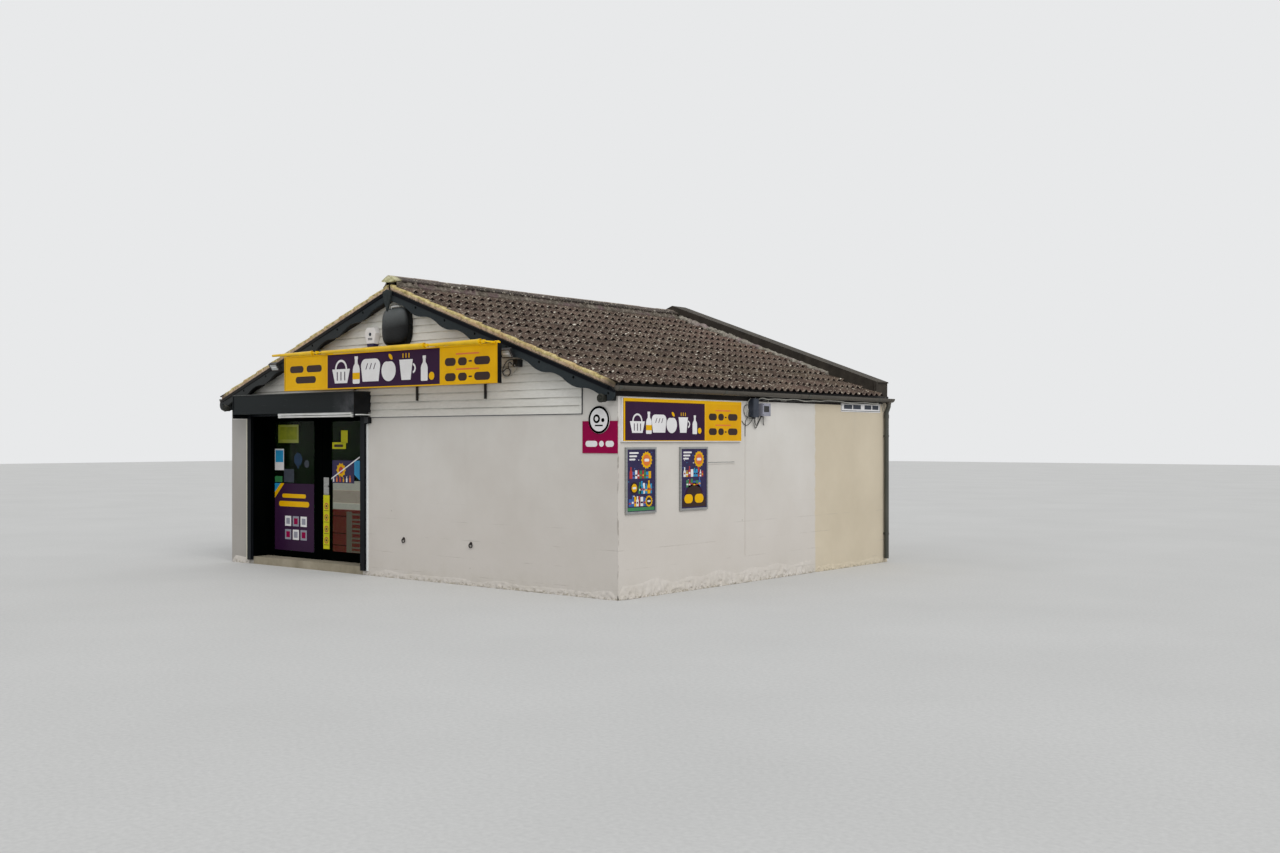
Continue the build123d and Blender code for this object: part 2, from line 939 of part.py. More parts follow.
with BuildPart() as door_glass:
    with BuildSketch(front_plane(screen_back - (sash_t - glass_t) / 2)):
        block(
            door_left_x + lock_stile_w,
            door_low_z + door_rail_h,
            door_right_x - stile_w,
            door_high_z - top_rail_h,
        )
    extrude(amount=glass_t)
door_glass.part.label = "door_glass"
export_step(door_glass.part, "parts/door_glass.step")

# Handle plate with a lever on the lock stile
handle_x = door_left_x + lock_stile_w / 2
door_face = screen_back - sash_t
with BuildPart() as door_handle:
    with BuildSketch(front_plane(door_face)):
        with Locations((handle_x, handle_z)):
            RectangleRounded(handle_w, handle_h, handle_t)
    extrude(amount=handle_t)
    with BuildSketch(front_plane(door_face)):
        with Locations((handle_x, handle_z)):
            Circle(lever_r)
    extrude(amount=lever_out)
    with BuildSketch(front_plane(door_face - lever_out + 2 * lever_r)):
        with Locations((handle_x + lever_len / 2 - lever_r, handle_z)):
            RectangleRounded(lever_len, 2 * lever_r, lever_round)
    extrude(amount=2 * lever_r)
door_handle.part.label = "door_handle"
export_step(door_handle.part, "parts/door_handle.step")

# Tube lamp on a batten under the front edge of the shutter box
lamp_z = box_low_z - batten_h - lamp_hang
lamp_right_x = box_right_x - lamp_inset
lamp_left_x = lamp_right_x - lamp_w
with BuildPart() as tube_light:
    with BuildSketch(front_plane(-lamp_depth + batten_w / 2)):
        block(lamp_left_x, box_low_z - batten_h, lamp_right_x, box_low_z)
    extrude(amount=batten_w)
    for end_x in (lamp_left_x, lamp_right_x - lamp_cap_l):
        with BuildSketch(side_plane(end_x)):
            with Locations((front_y - lamp_depth, lamp_z)):
                Circle(lamp_cap_r)
            block(
                front_y - lamp_depth - lamp_tube_r,
                lamp_z,
                front_y - lamp_depth + lamp_tube_r,
                box_low_z - batten_h,
            )
        extrude(amount=lamp_cap_l)
    with BuildSketch(side_plane(lamp_left_x + lamp_cap_l)):
        with Locations((front_y - lamp_depth, lamp_z)):
            Circle(lamp_tube_r)
    extrude(amount=lamp_right_x - lamp_left_x - 2 * lamp_cap_l)
tube_light.part.label = "tube_light"
export_step(tube_light.part, "parts/tube_light.step")

# Fascia sign: a flat box with a raised rim
sign_back = sign_front - sign_t
with BuildPart() as main_sign:
    with BuildSketch(front_plane(-sign_back)):
        block(sign_left_x, sign_low_z, sign_right_x, sign_high_z)
    extrude(amount=sign_t - sign_rim_t)
    with BuildSketch(front_plane(-sign_front + sign_rim_t)):
        block(sign_left_x, sign_low_z, sign_right_x, sign_high_z)
        block(
            sign_left_x + sign_rim_w,
            sign_low_z + sign_rim_w,
            sign_right_x - sign_rim_w,
            sign_high_z - sign_rim_w,
            mode=Mode.SUBTRACT,
        )
    extrude(amount=sign_rim_t)
main_sign.part.label = "main_sign"
export_step(main_sign.part, "parts/main_sign.step")

# Upright rails on the cladding with arms out to the back of the sign
with BuildPart() as sign_brackets:
    for x in rail_x:
        rail_foot = max(rail_low_z, box_high_z + rail_w) if x < box_right_x else rail_low_z
        with BuildSketch(front_plane(-cladding_t)):
            block(x - rail_w / 2, rail_foot, x + rail_w / 2, rail_high_z)
        extrude(amount=rail_w)
        for z in arm_z:
            with BuildSketch(front_plane(-cladding_t)):
                block(x - rail_w / 2, z - rail_w / 2, x + rail_w / 2, z + rail_w / 2)
            extrude(amount=sign_back - cladding_t)
sign_brackets.part.label = "sign_brackets"
export_step(sign_brackets.part, "parts/sign_brackets.step")

# Trough light: three round hoods that widen to the right on one rod, with arms to the sign
with BuildPart() as trough_light:
    for left_x, right_x in trough_spans:
        with BuildSketch(side_plane(left_x)):
            with Locations((front_y - trough_front, trough_z)):
                RegularPolygon(trough_thin_r, trough_sides)
        with BuildSketch(side_plane(right_x)):
            with Locations((front_y - trough_front, trough_z)):
                RegularPolygon(trough_thick_r, trough_sides)
        loft()
    with BuildSketch(side_plane(trough_spans[0][0])):
        with Locations((front_y - trough_front, trough_z)):
            RegularPolygon(trough_rod_r, trough_sides)
    extrude(amount=trough_rod_end - trough_spans[0][0])
    for x in trough_arm_x:
        with BuildSketch(front_plane(-sign_front + sign_t / 2)):
            with Locations((x, sign_high_z + trough_arm_r)):
                RegularPolygon(trough_arm_r, trough_arm_sides)
        extrude(amount=trough_front - sign_front + sign_t / 2)
        with BuildSketch(Plane.XY.offset(sign_high_z)):
            with Locations((x, front_y - sign_front + sign_t / 2)):
                Rectangle(trough_knuckle, sign_t / 2)
        extrude(amount=2 * trough_arm_r)
trough_light.part.label = "trough_light"
export_step(trough_light.part, "parts/trough_light.step")

# Barrel-sided housing under the apex
housing_top_z = soffit(0) - housing_drop
housing_mid_z = housing_top_z - housing_h / 2
housing_low_z = housing_top_z - housing_h
with BuildPart() as gable_housing:
    with BuildSketch(front_plane(-cladding_t)):
        with BuildLine():
            for side in (-1, 1):
                ThreePointArc(
                    (housing_x + side * housing_waist / 2, housing_low_z),
                    (housing_x + side * housing_w / 2, housing_mid_z),
                    (housing_x + side * housing_waist / 2, housing_top_z),
                )
            for z in (housing_low_z, housing_top_z):
                Line((housing_x - housing_waist / 2, z), (housing_x + housing_waist / 2, z))
        make_face()
    extrude(amount=housing_t)
    fillet(gable_housing.edges().filter_by(Axis.Y), radius=housing_round)
    chamfer(gable_housing.faces().sort_by(Axis.Y)[0].edges(), length=housing_bevel)
gable_housing.part.label = "gable_housing"
export_step(gable_housing.part, "parts/gable_housing.step")

# Six-sided alarm sounder box
alarm_z = soffit(0) - alarm_drop
with BuildPart() as alarm_box:
    with BuildSketch(front_plane(-cladding_t)):
        with BuildLine():
            Polyline(
                (alarm_x - alarm_w * alarm_top_share, alarm_z + alarm_h / 2),
                (alarm_x + alarm_w * alarm_top_share, alarm_z + alarm_h / 2),
                (alarm_x + alarm_w / 2, alarm_z + alarm_h * alarm_shoulder_share),
                (alarm_x + alarm_w * alarm_foot_share, alarm_z - alarm_h / 2),
                (alarm_x - alarm_w * alarm_foot_share, alarm_z - alarm_h / 2),
                (alarm_x - alarm_w / 2, alarm_z + alarm_h * alarm_shoulder_share),
                close=True,
            )
        make_face()
    extrude(amount=alarm_t, taper=alarm_taper)
alarm_box.part.label = "alarm_box"
export_step(alarm_box.part, "parts/alarm_box.step")

# Floodlights tilted down on stubs from the bargeboards, and a sensor on the cladding
with BuildPart() as floodlights:
    for x, drop in zip(flood_x, flood_drop):
        flood_z = board_top(x) - drop
        lamp_place = Plane(
            origin=(x, front_y - flood_front, flood_z),
            x_dir=(1, 0, 0),
            z_dir=(0, -cos(radians(flood_tilt)), -sin(radians(flood_tilt))),
        )
        with BuildSketch(lamp_place):
            RectangleRounded(flood_w, flood_h, flood_round)
        extrude(amount=flood_t / 2, both=True)
        with BuildSketch(front_plane(-verge_overhang - board_t)):
            with Locations((x, flood_z)):
                Rectangle(flood_stub_w, flood_stub_w)
        extrude(amount=flood_front - verge_overhang - board_t)
    with BuildSketch(front_plane(-cladding_t)):
        with Locations((sensor_x, tile_z(sensor_x) - sensor_drop)):
            RectangleRounded(sensor_w, sensor_size, sensor_round)
    extrude(amount=sensor_size)
floodlights.part.label = "floodlights"
export_step(floodlights.part, "parts/floodlights.step")

# Eye plates with rings hanging from them, low on the front wall
with BuildPart() as wall_rings:
    for x in ring_x:
        with BuildSketch(front_plane(0)):
            with Locations((x, ring_z + ring_r)):
                RegularPolygon(eye_plate_r, ring_sides)
        extrude(amount=eye_plate_t)
        with BuildSketch(front_plane(-eye_plate_t)):
            with Locations((x, ring_z)):
                RegularPolygon(ring_r + ring_wire / 2, ring_sides)
                RegularPolygon(ring_r - ring_wire / 2, ring_sides, mode=Mode.SUBTRACT)
        extrude(amount=ring_wire)
wall_rings.part.label = "wall_rings"
export_step(wall_rings.part, "parts/wall_rings.step")

# Square plate at the corner and the round disc in front of it
plate_sign_x = half_w - plate_sign_inset
with BuildPart() as square_plate:
    with BuildSketch(front_plane(0)):
        block(plate_sign_x - plate_sign_w, plate_sign_low_z, plate_sign_x, plate_sign_high_z)
    extrude(amount=plate_sign_t)
square_plate.part.label = "square_plate"
export_step(square_plate.part, "parts/square_plate.step")

with BuildPart() as round_disc:
    with BuildSketch(front_plane(-plate_sign_t)):
        with Locations((half_w - disc_from_corner, disc_z)):
            Circle(disc_r)
    extrude(amount=disc_t)
round_disc.part.label = "round_disc"
export_step(round_disc.part, "parts/round_disc.step")

# Long sign board on the right wall
with BuildPart() as wall_sign:
    with BuildSketch(side_plane(half_w)):
        block(
            front_y + wall_sign_front,
            wall_sign_low_z,
            front_y + wall_sign_back,
            wall_sign_high_z,
        )
    extrude(amount=wall_sign_t)
wall_sign.part.label = "wall_sign"
export_step(wall_sign.part, "parts/wall_sign.step")

# Two framed poster cases on the right wall
with BuildPart() as poster_frames:
    for depth in poster_front:
        near_y = front_y + depth
        with BuildSketch(side_plane(half_w)):
            block(near_y, poster_low_z, near_y + poster_w, poster_high_z)
        extrude(amount=poster_t)
        with BuildSketch(side_plane(half_w + poster_t - poster_recess)):
            block(
                near_y + poster_rim,
                poster_low_z + poster_rim,
                near_y + poster_w - poster_rim,
                poster_high_z - poster_rim,
            )
        extrude(amount=poster_recess, mode=Mode.SUBTRACT)
poster_frames.part.label = "poster_frames"
export_step(poster_frames.part, "parts/poster_frames.step")

# Cable box and meter box under the eaves
with BuildPart() as wall_boxes:
    for near, far, low, high, out in (
        (wire_box_front, wire_box_back, wire_box_low_z, wire_box_high_z, wire_box_t),
        (meter_box_front, meter_box_back, meter_box_low_z, meter_box_high_z, meter_box_t),
    ):
        with BuildSketch(side_plane(half_w)):
            with Locations((front_y + (near + far) / 2, (low + high) / 2)):
                RectangleRounded(far - near, high - low, box_round)
        extrude(amount=out)
wall_boxes.part.label = "wall_boxes"
export_step(wall_boxes.part, "parts/wall_boxes.step")

# Plain nameplate near the back of the right wall
name_back = building_d - name_from_back
name_middle = (front_y + name_back - name_w / 2, (name_low_z + name_high_z) / 2)
with BuildPart() as street_nameplate:
    with BuildSketch(side_plane(half_w)):
        with Locations(name_middle):
            RectangleRounded(name_w, name_high_z - name_low_z, name_round)
    extrude(amount=name_t)
street_nameplate.part.label = "street_nameplate"
export_step(street_nameplate.part, "parts/street_nameplate.step")
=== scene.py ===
"""Looks for the corner shop building, in metres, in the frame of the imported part."""

import math
import random

import bmesh
import bpy
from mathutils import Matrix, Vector, noise


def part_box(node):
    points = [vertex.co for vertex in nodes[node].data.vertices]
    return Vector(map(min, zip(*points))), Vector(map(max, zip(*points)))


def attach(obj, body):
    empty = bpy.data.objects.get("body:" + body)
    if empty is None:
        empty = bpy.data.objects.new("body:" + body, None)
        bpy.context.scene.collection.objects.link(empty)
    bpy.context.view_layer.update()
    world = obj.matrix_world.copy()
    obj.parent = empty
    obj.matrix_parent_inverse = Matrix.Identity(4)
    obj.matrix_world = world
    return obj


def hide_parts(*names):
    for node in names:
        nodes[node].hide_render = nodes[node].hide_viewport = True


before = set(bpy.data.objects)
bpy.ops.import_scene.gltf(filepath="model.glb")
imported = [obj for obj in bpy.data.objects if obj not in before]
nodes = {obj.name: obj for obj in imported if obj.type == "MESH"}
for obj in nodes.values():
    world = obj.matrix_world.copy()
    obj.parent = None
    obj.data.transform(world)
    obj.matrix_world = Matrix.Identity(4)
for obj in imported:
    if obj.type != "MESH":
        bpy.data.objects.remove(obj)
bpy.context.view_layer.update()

# Places shared with the part
FRONT = -3.16
WALL_X = 3.87
EAVE_X = 3.989
EAVE_Z = 2.547
RISE = 0.35667
SOFFIT_DROP = 0.23
VERGE = 0.133
TILE_GAUGE = 0.324
ROLL_PITCH = 0.15
BOARD_PITCH = 0.10
CLAD_LOW = 2.165
INSIDE_X = 3.65


def tile_z(x):
    """Height of the tile plane above a point of the width."""
    return EAVE_Z + RISE * (EAVE_X - abs(x))


def front(u, v, d):
    """A point of the street front: across, up, and out from the wall."""
    return (u, FRONT - d, v)


def right(u, v, d):
    """A point of the right wall: back from the front, up, and out from the wall."""
    return (WALL_X + d, FRONT + u, v)


def set_back(s):
    """Points of a face that stands a distance behind the street front."""
    return lambda u, v, d: (u, FRONT + s - d, v)


def stand(name, data):
    """A new object, linked into the scene."""
    obj = bpy.data.objects.new(name, data)
    bpy.context.scene.collection.objects.link(obj)
    return obj


# Camera
camera_data = bpy.data.cameras.new("camera")
camera_data.lens = 37.02
camera_data.sensor_width = 36
camera_data.shift_y = 0.0107
camera = stand("camera", camera_data)
camera.location = (13.711, -14.717, 1.85)
camera.rotation_euler = (math.radians(90), 0, math.radians(39.4635))
bpy.context.scene.camera = camera


# Node materials
def lin(colour):
    """A 0 to 255 screen colour as the linear colour that a node takes."""
    out = []
    for c in colour:
        c = c / 255
        out.append(((c + 0.055) / 1.055) ** 2.4 if c > 0.04045 else c / 12.92)
    return (*out, 1)


class Paint:
    """A node material on object coordinates, which are the part's own metres."""

    def __init__(self, name, metal=0.0, **sockets):
        self.mat = bpy.data.materials.new(name)
        self.mat.use_nodes = True
        self.tree = self.mat.node_tree
        self.bsdf = self.tree.nodes["Principled BSDF"]
        self.bsdf.inputs["Metallic"].default_value = metal
        for key, value in sockets.items():
            self.bsdf.inputs[key.replace("_", " ")].default_value = value
        self.where = self.new("TexCoord").outputs["Object"]
        self.finish = None

    def put(self, socket, value):
        if isinstance(value, bpy.types.NodeSocket):
            self.tree.links.new(value, socket)
        else:
            socket.default_value = value

    def new(self, kind, **values):
        """A node of one kind with its inputs set or linked."""
        node = self.tree.nodes.new("ShaderNode" + kind)
        for key, value in values.items():
            self.put(node.inputs[key.replace("_", " ")], value)
        return node

    def noise(self, scale, detail=3, stretch=(1, 1, 1), rough=0.55):
        where = self.where
        if stretch != (1, 1, 1):
            where = self.new("Mapping", Vector=where, Scale=stretch).outputs["Vector"]
        return self.new("TexNoise", Vector=where, Scale=scale, Detail=detail, Roughness=rough).outputs["Fac"]

    def cells(self, scale, out="Distance"):
        return self.new("TexVoronoi", Vector=self.where, Scale=scale).outputs[out]

    def tone(self):
        node = self.new("Attribute")
        node.attribute_name = "tone"
        return node.outputs["Fac"]

    def axis(self, name):
        return self.new("SeparateXYZ", Vector=self.where).outputs[name]

    def facing(self, way):
        """How far a face turns to a fixed direction of the part."""
        node = self.new("VectorMath")
        node.operation = "DOT_PRODUCT"
        self.put(node.inputs[0], self.new("NewGeometry").outputs["Normal"])
        node.inputs[1].default_value = way
        return node.outputs["Value"]

    def span(self, value, low, high, a=0.0, b=1.0):
        """The value's place between low and high, as a place between a and b."""
        return self.new("MapRange", Value=value, From_Min=low, From_Max=high, To_Min=a, To_Max=b).outputs[
            "Result"
        ]

    def calc(self, kind, a, b=0.0):
        node = self.new("Math")
        node.operation = kind
        self.put(node.inputs[0], a)
        self.put(node.inputs[1], b)
        return node.outputs[0]

    def times(self, a, b):
        return self.calc("MULTIPLY", a, b)

    def plus(self, a, b):
        return self.calc("ADD", a, b)

    def minus(self, a, b):
        return self.calc("SUBTRACT", a, b)

    def size(self, value):
        return self.calc("ABSOLUTE", value)

    def part(self, value):
        return self.calc("FRACT", value)

    def below_tiles(self):
        """How far a point lies below the tile plane."""
        slope = self.times(self.size(self.axis("X")), RISE)
        return self.minus(EAVE_Z + RISE * EAVE_X, self.plus(slope, self.axis("Z")))

    def ramp(self, value, stops):
        node = self.new("ValToRGB")
        self.put(node.inputs[0], value)
        line = node.color_ramp.elements
        while len(line) < len(stops):
            line.new(0.5)
        for element, (place, colour) in zip(line, stops):
            element.position = place
            element.color = lin(colour)
        return node.outputs["Color"]

    def mix(self, share, a, b):
        """Two finishes or screen colours, by the share of the second."""
        node = self.new("Mix")
        node.data_type = "RGBA"
        for i, value in ((0, share), (6, a), (7, b)):
            self.put(node.inputs[i], lin(value) if isinstance(value, tuple) else value)
        return node.outputs[2]

    def over(self, share, colour):
        """Lays a colour or another finish over the finish so far."""
        self.finish = self.mix(share, self.finish, colour)

    def done(self, rough, height, strength, depth):
        self.put(self.bsdf.inputs["Base Color"], self.finish)
        self.put(self.bsdf.inputs["Roughness"], rough)
        bump = self.new("Bump", Strength=strength, Distance=depth, Height=height)
        self.put(self.bsdf.inputs["Normal"], bump.outputs["Normal"])
        return self.mat


def shade(colour, share):
    return tuple(max(0, min(255, c * share)) for c in colour)


def coat(
    name, colour, worn, rough, patch, grain, bump,
    stretch=(1, 1, 1), metal=0.0, dust=0.0, wear=0.5, faces=(), gloss=0.4,
):
    """A painted, moulded or rolled finish: patches of wear, fine grain, and dust on what faces up."""
    p = Paint(name, metal, Specular_IOR_Level=gloss)
    large = p.noise(patch, 5, stretch)
    fine = p.noise(grain, 3, stretch)
    p.finish = p.mix(p.span(large, 0.5 - 0.35 * wear, 0.5 + 0.5 * wear), colour, worn)
    p.over(p.span(fine, 0.3, 0.75, 0.0, 0.22), shade(colour, 0.7))
    for way, limit, other in faces:
        p.over(p.span(p.facing(way), limit, limit + 0.1), other)
    if dust:
        up = p.span(p.facing((0, 0, 1)), 0.3, 1.0, 0.0, dust)
        p.over(p.times(up, p.span(large, 0.2, 0.7)), (150, 144, 132))
    return p.done(p.span(large, 0.3, 0.7, *rough), fine, bump, 0.002)


def white_render(name, cream_from=None, front_shade=0.0):
    """Painted render: trowelled, faintly stained, chipped and splashed at its foot."""
    p = Paint(name, Specular_IOR_Level=0.3)
    z = p.axis("Z")
    cloud = p.noise(0.8, 6)
    rain = p.noise(3.5, 4, (1, 1, 0.12))
    trowel = p.noise(11, 4)
    grit = p.noise(240, 2)
    stops = [(0.3, (199, 194, 187)), (0.5, (206, 202, 195)), (0.7, (211, 207, 201))]
    p.finish = p.ramp(cloud, stops)
    p.over(p.span(p.plus(z, p.times(cloud, 1.2)), 2.7, 1.3, 0.0, 0.5), (190, 181, 172))
    if cream_from is not None:
        edge = p.plus(p.axis("Y"), p.span(p.noise(9, 3), 0.3, 0.7, -0.02, 0.02))
        cream = p.ramp(cloud, [(0.3, (190, 178, 156)), (0.7, (205, 193, 171))])
        p.over(p.span(edge, cream_from - 0.01, cream_from + 0.01), cream)
    streak = p.times(p.span(rain, 0.58, 0.85), p.span(z, 0.8, 2.4, 0.05, 0.3))
    p.over(streak, (178, 172, 162))
    scuff = p.span(p.noise(7, 6, (1, 1, 1.6), 0.7), 0.62, 0.74, 0.0, 0.18)
    p.over(scuff, (190, 186, 177))
    low = p.times(p.span(z, 0.30, 0.02), p.span(p.noise(4, 7, rough=0.7), 0.4, 0.7))
    p.over(p.times(low, 0.35), (172, 164, 146))
    flake = p.plus(p.noise(26, 6, (1, 1, 1.5), 0.65), p.span(z, 0.13, 0.0, -0.3, 0.1))
    flake = p.span(flake, 0.57, 0.6)
    p.over(p.times(flake, 0.7), (150, 141, 122))
    course = p.size(p.minus(p.part(p.times(z, 4.4)), 0.5))
    ghost = p.times(p.span(course, 0.035, 0.012), p.span(p.noise(2.2, 5, (1, 1, 3)), 0.5, 0.62, 0.0, 0.3))
    ghost = p.times(ghost, p.span(z, 1.1, 0.7))
    p.over(ghost, (158, 151, 141))
    pin = p.span(p.cells(2.2), 0.03, 0.012, 0.0, 0.4)
    p.over(pin, (120, 112, 98))
    edge_x = p.span(p.axis("X"), WALL_X - 0.02, WALL_X - 0.004)
    edge_y = p.span(p.axis("Y"), FRONT + 0.02, FRONT + 0.004)
    chip = p.times(p.times(edge_x, edge_y), p.span(p.noise(34, 5, (1, 1, 0.3)), 0.5, 0.58))
    p.over(p.times(chip, 0.6), (118, 110, 98))
    # Painted shade: the faces towards the street are darkened, for the shade that falls on the pier.
    if front_shade:
        p.over(p.span(p.facing((0, -1, 0)), 0.5, 0.6, 0.0, front_shade), (96, 94, 90))
    # Painted shade: the inner faces of the walls are painted dark green-grey, for the unlit inside of the
    # shop.
    across = p.span(p.size(p.axis("X")), INSIDE_X + 0.02, INSIDE_X)
    along = p.times(p.span(p.axis("Y"), FRONT + 0.24, FRONT + 0.26), p.span(p.axis("Y"), 2.98, 2.96))
    inner = p.mix(cloud, (30, 35, 28), (52, 57, 48))
    p.over(p.times(across, along), inner)
    height = p.plus(p.times(trowel, 1.2), p.times(grit, 0.35))
    height = p.minus(height, p.plus(p.times(flake, 0.5), p.times(ghost, 2.0)))
    return p.done(p.span(trowel, 0.3, 0.7, 0.7, 0.88), height, 0.35, 0.004)


def lichen_tile(name, ridge=False):
    """Weathered concrete tile: pale rolls between hollows darkened with painted shade, a painted shadow below
    each course's tails, moss, mauve patches and lichen spots.
    """
    p = Paint(name, Specular_IOR_Level=0.15)
    tone = p.tone()
    mottle = p.noise(60, 6, rough=0.8)
    value = p.plus(p.times(tone, 0.12), p.times(mottle, 0.94))
    stops = [(0.38, (50, 40, 34)), (0.54, (82, 68, 59)), (0.72, (124, 106, 94))]
    if ridge:
        stops = [(0.38, (36, 32, 29)), (0.54, (72, 66, 62)), (0.72, (118, 110, 104))]
    p.finish = p.ramp(value, stops)
    mauve = p.times(p.span(p.noise(0.5, 3), 0.44, 0.64), p.span(p.axis("Y"), -3.0, 3.0, 0.2, 1.0))
    p.over(p.times(mauve, 0.35), (120, 92, 84))
    moss = p.times(p.span(p.noise(1.1, 5), 0.52, 0.7), p.span(mottle, 0.4, 0.6))
    p.over(p.times(moss, 0.35), (96, 92, 62))
    out = p.size(p.axis("X"))
    soot = p.span(p.noise(6.5, 5), 0.54, 0.72, 0.0, 0.25)
    p.over(soot, (50, 42, 37))
    if ridge:
        front_end = p.span(p.axis("Y"), FRONT - 0.04, FRONT - 0.12)
        p.over(p.times(front_end, p.span(mottle, 0.35, 0.5, 0.0, 0.9)), (206, 202, 160))
        # Painted highlight: a pale pinkish line along the ridge's crest.
        crown = p.times(p.span(p.axis("Z"), 4.020, 4.036), p.span(mottle, 0.4, 0.52, 0.0, 0.7))
        p.over(crown, (176, 160, 146))
    else:
        across = p.part(p.times(p.minus(p.axis("Y"), FRONT - VERGE), 1 / ROLL_PITCH))
        away = p.size(p.minus(across, 0.5))
        along = p.part(p.times(p.minus(EAVE_X, out), 1 / TILE_GAUGE))
        # Painted shade: darker in the hollows between the rolls.
        p.over(p.span(away, 0.18, 0.42, 0.0, 0.4), (58, 48, 42))
        # Painted shadow: a dark band just below the tails of the course above.
        p.over(p.span(along, 0.8, 0.99, 0.0, 0.75), (38, 31, 27))
        rim = p.times(p.span(along, 0.09, 0.01, 0.0, 0.55), p.span(mottle, 0.4, 0.6))
        p.over(rim, (164, 150, 136))
    near_ridge = p.span(out, 2.2, 0.0, 0.0, 0.08)
    spots = (
        (13, 0.22, 0.66, (222, 216, 200)), (24, 0.32, 0.6, (180, 170, 152)), (46, 0.36, 0.57, (164, 154, 138))
    )
    for scale, size, keep, colour in spots:
        ragged = p.plus(p.cells(scale), p.span(p.noise(scale * 4, 2), 0.3, 0.7, -0.07, 0.07))
        chosen = p.plus(p.cells(scale, out="Color"), near_ridge)
        spot = p.times(p.span(ragged, size, size * 0.7), p.span(chosen, keep, keep + 0.02))
        p.over(p.times(spot, 0.85), colour)
    height = p.plus(mottle, p.times(p.noise(210, 2), 0.5))
    return p.done(p.span(mottle, 0.3, 0.7, 0.85, 0.98), height, 0.6, 0.005)


def mortar(name, dark, mid, pale, foot=None):
    p = Paint(name, Specular_IOR_Level=0.15)
    lump = p.noise(16, 6, rough=0.7)
    p.finish = p.ramp(lump, [(0.32, dark), (0.5, mid), (0.66, pale)])
    if foot:
        below = p.plus(p.below_tiles(), p.span(p.noise(12, 4), 0.3, 0.7, -0.012, 0.012))
        lower = p.ramp(lump, [(0.32, shade(foot, 0.72)), (0.5, foot), (0.66, shade(foot, 1.15))])
        p.over(p.span(below, 0.070, 0.084), lower)
        eave = p.span(p.size(p.axis("X")), 3.7, 3.88, 0.0, 0.9)
        p.over(eave, (70, 60, 52))
    p.over(p.span(p.noise(4.5, 4), 0.5, 0.62, 0.0, 0.4), (mid[0] + 8, mid[1] - 12, mid[2] + 8))
    spot = p.span(p.noise(55, 4, rough=0.7), 0.56, 0.68)
    p.over(p.times(spot, 0.7), shade(dark, 0.6))
    return p.done(p.span(lump, 0.3, 0.7, 0.8, 0.95), p.noise(70, 5, rough=0.7), 0.5, 0.005)


def board_paint(name):
    """Black paint on the scalloped boards: painted shade along the moulded top edge, chipped and dusty."""
    p = Paint(name, Specular_IOR_Level=0.05)
    large, fine = p.noise(3.2, 5, (0.4, 1, 1)), p.noise(80, 3, (0.3, 1, 1))
    p.finish = p.mix(p.span(large, 0.3, 0.75), (38, 44, 47), (54, 59, 61))
    p.over(p.span(fine, 0.35, 0.75, 0.0, 0.3), (18, 20, 22))
    # Painted shade: a near-black band along the top of the board, under the verge mortar.
    p.over(p.span(p.below_tiles(), 0.172, 0.162, 0.0, 0.95), (6, 7, 13))
    p.over(p.span(p.axis("X"), -0.4, -2.0, 0.0, 0.3), (70, 67, 62))
    chips = p.times(p.span(p.noise(90, 4, rough=0.7), 0.66, 0.7), p.span(large, 0.45, 0.6, 0.0, 0.5))
    p.over(chips, (120, 116, 108))
    p.over(p.span(p.facing((0, 0, 1)), 0.3, 0.9, 0.0, 0.3), (110, 106, 98))
    return p.done(p.span(large, 0.3, 0.7, 0.35, 0.6), fine, 0.25, 0.002)


def box_paint(name):
    """Dark coated sheet: dulled, with a painted reflection as a pale patch at one end, dust and a painted
    highlight along its top, and painted shade on its end face.
    """
    p = Paint(name, Specular_IOR_Level=0.08)
    large, fine = p.noise(1.8, 4, (0.5, 1, 2)), p.noise(130, 3, (0.3, 1, 2))
    p.finish = p.mix(p.span(large, 0.3, 0.75), (20, 25, 26), (31, 36, 37))
    p.over(p.span(fine, 0.4, 0.75, 0.0, 0.25), (16, 18, 19))
    # Painted reflection: a pale sheen towards one end of the box, stronger towards its foot.
    painted_sheen = p.times(p.span(p.axis("X"), -1.05, -0.6), p.span(p.axis("Z"), 2.52, 2.32, 0.3, 0.8))
    p.over(p.times(painted_sheen, p.span(p.noise(5, 4), 0.3, 0.6)), (84, 84, 87))
    # Painted shade: the end face towards +X is darkened.
    p.over(p.span(p.facing((1, 0, 0)), 0.6, 0.9, 0.0, 0.9), (20, 21, 22))
    # Dust and a painted highlight: a pale line along the top, stronger towards the left end.
    edge = p.times(p.span(p.axis("Z"), 2.5, 2.51), p.span(fine, 0.4, 0.6, 0.1, 0.8))
    p.over(p.times(edge, p.span(p.axis("X"), -0.6, -2.2, 0.3, 1.0)), (112, 112, 108))
    scratch = p.span(p.noise(30, 3, (0.2, 1, 4)), 0.7, 0.74, 0.0, 0.4)
    p.over(scratch, (96, 96, 94))
    return p.done(p.span(large, 0.3, 0.7, 0.3, 0.5), fine, 0.12, 0.002)


def glass(name, alpha):
    """Dark shop glass, tinted green with a painted reflection of trees that grows paler higher up, and a thin
    film of street dirt.
    """
    p = Paint(name, Alpha=alpha, IOR=1.45, Specular_IOR_Level=0.1)
    film = p.noise(5, 5, (1, 1, 0.5))
    # Painted reflection: the dark glass is tinted green in patches, for reflected trees.
    p.finish = p.mix(p.span(film, 0.35, 0.8, 0.0, 0.35), (1, 22, 1), (18, 48, 14))
    # Painted reflection: paler green higher up, where the trees show.
    high = p.times(p.span(p.axis("Z"), 1.3, 1.9), p.span(p.noise(8, 5, rough=0.7), 0.46, 0.66, 0.0, 0.7))
    p.over(high, (52, 74, 40))
    return p.done(p.span(film, 0.3, 0.8, 0.03, 0.12), film, 0.02, 0.001)


def glowing_coat(name, colour, worn, strength):
    """Goods and cabinets inside, glowing faintly: painted light in place of the shop's own lamps."""
    mat = coat(name, colour, worn, (0.3, 0.5), 4, 60, 0.1, gloss=0.2)
    bsdf = mat.node_tree.nodes["Principled BSDF"]
    bsdf.inputs["Emission Color"].default_value = lin(colour)
    bsdf.inputs["Emission Strength"].default_value = strength
    return mat


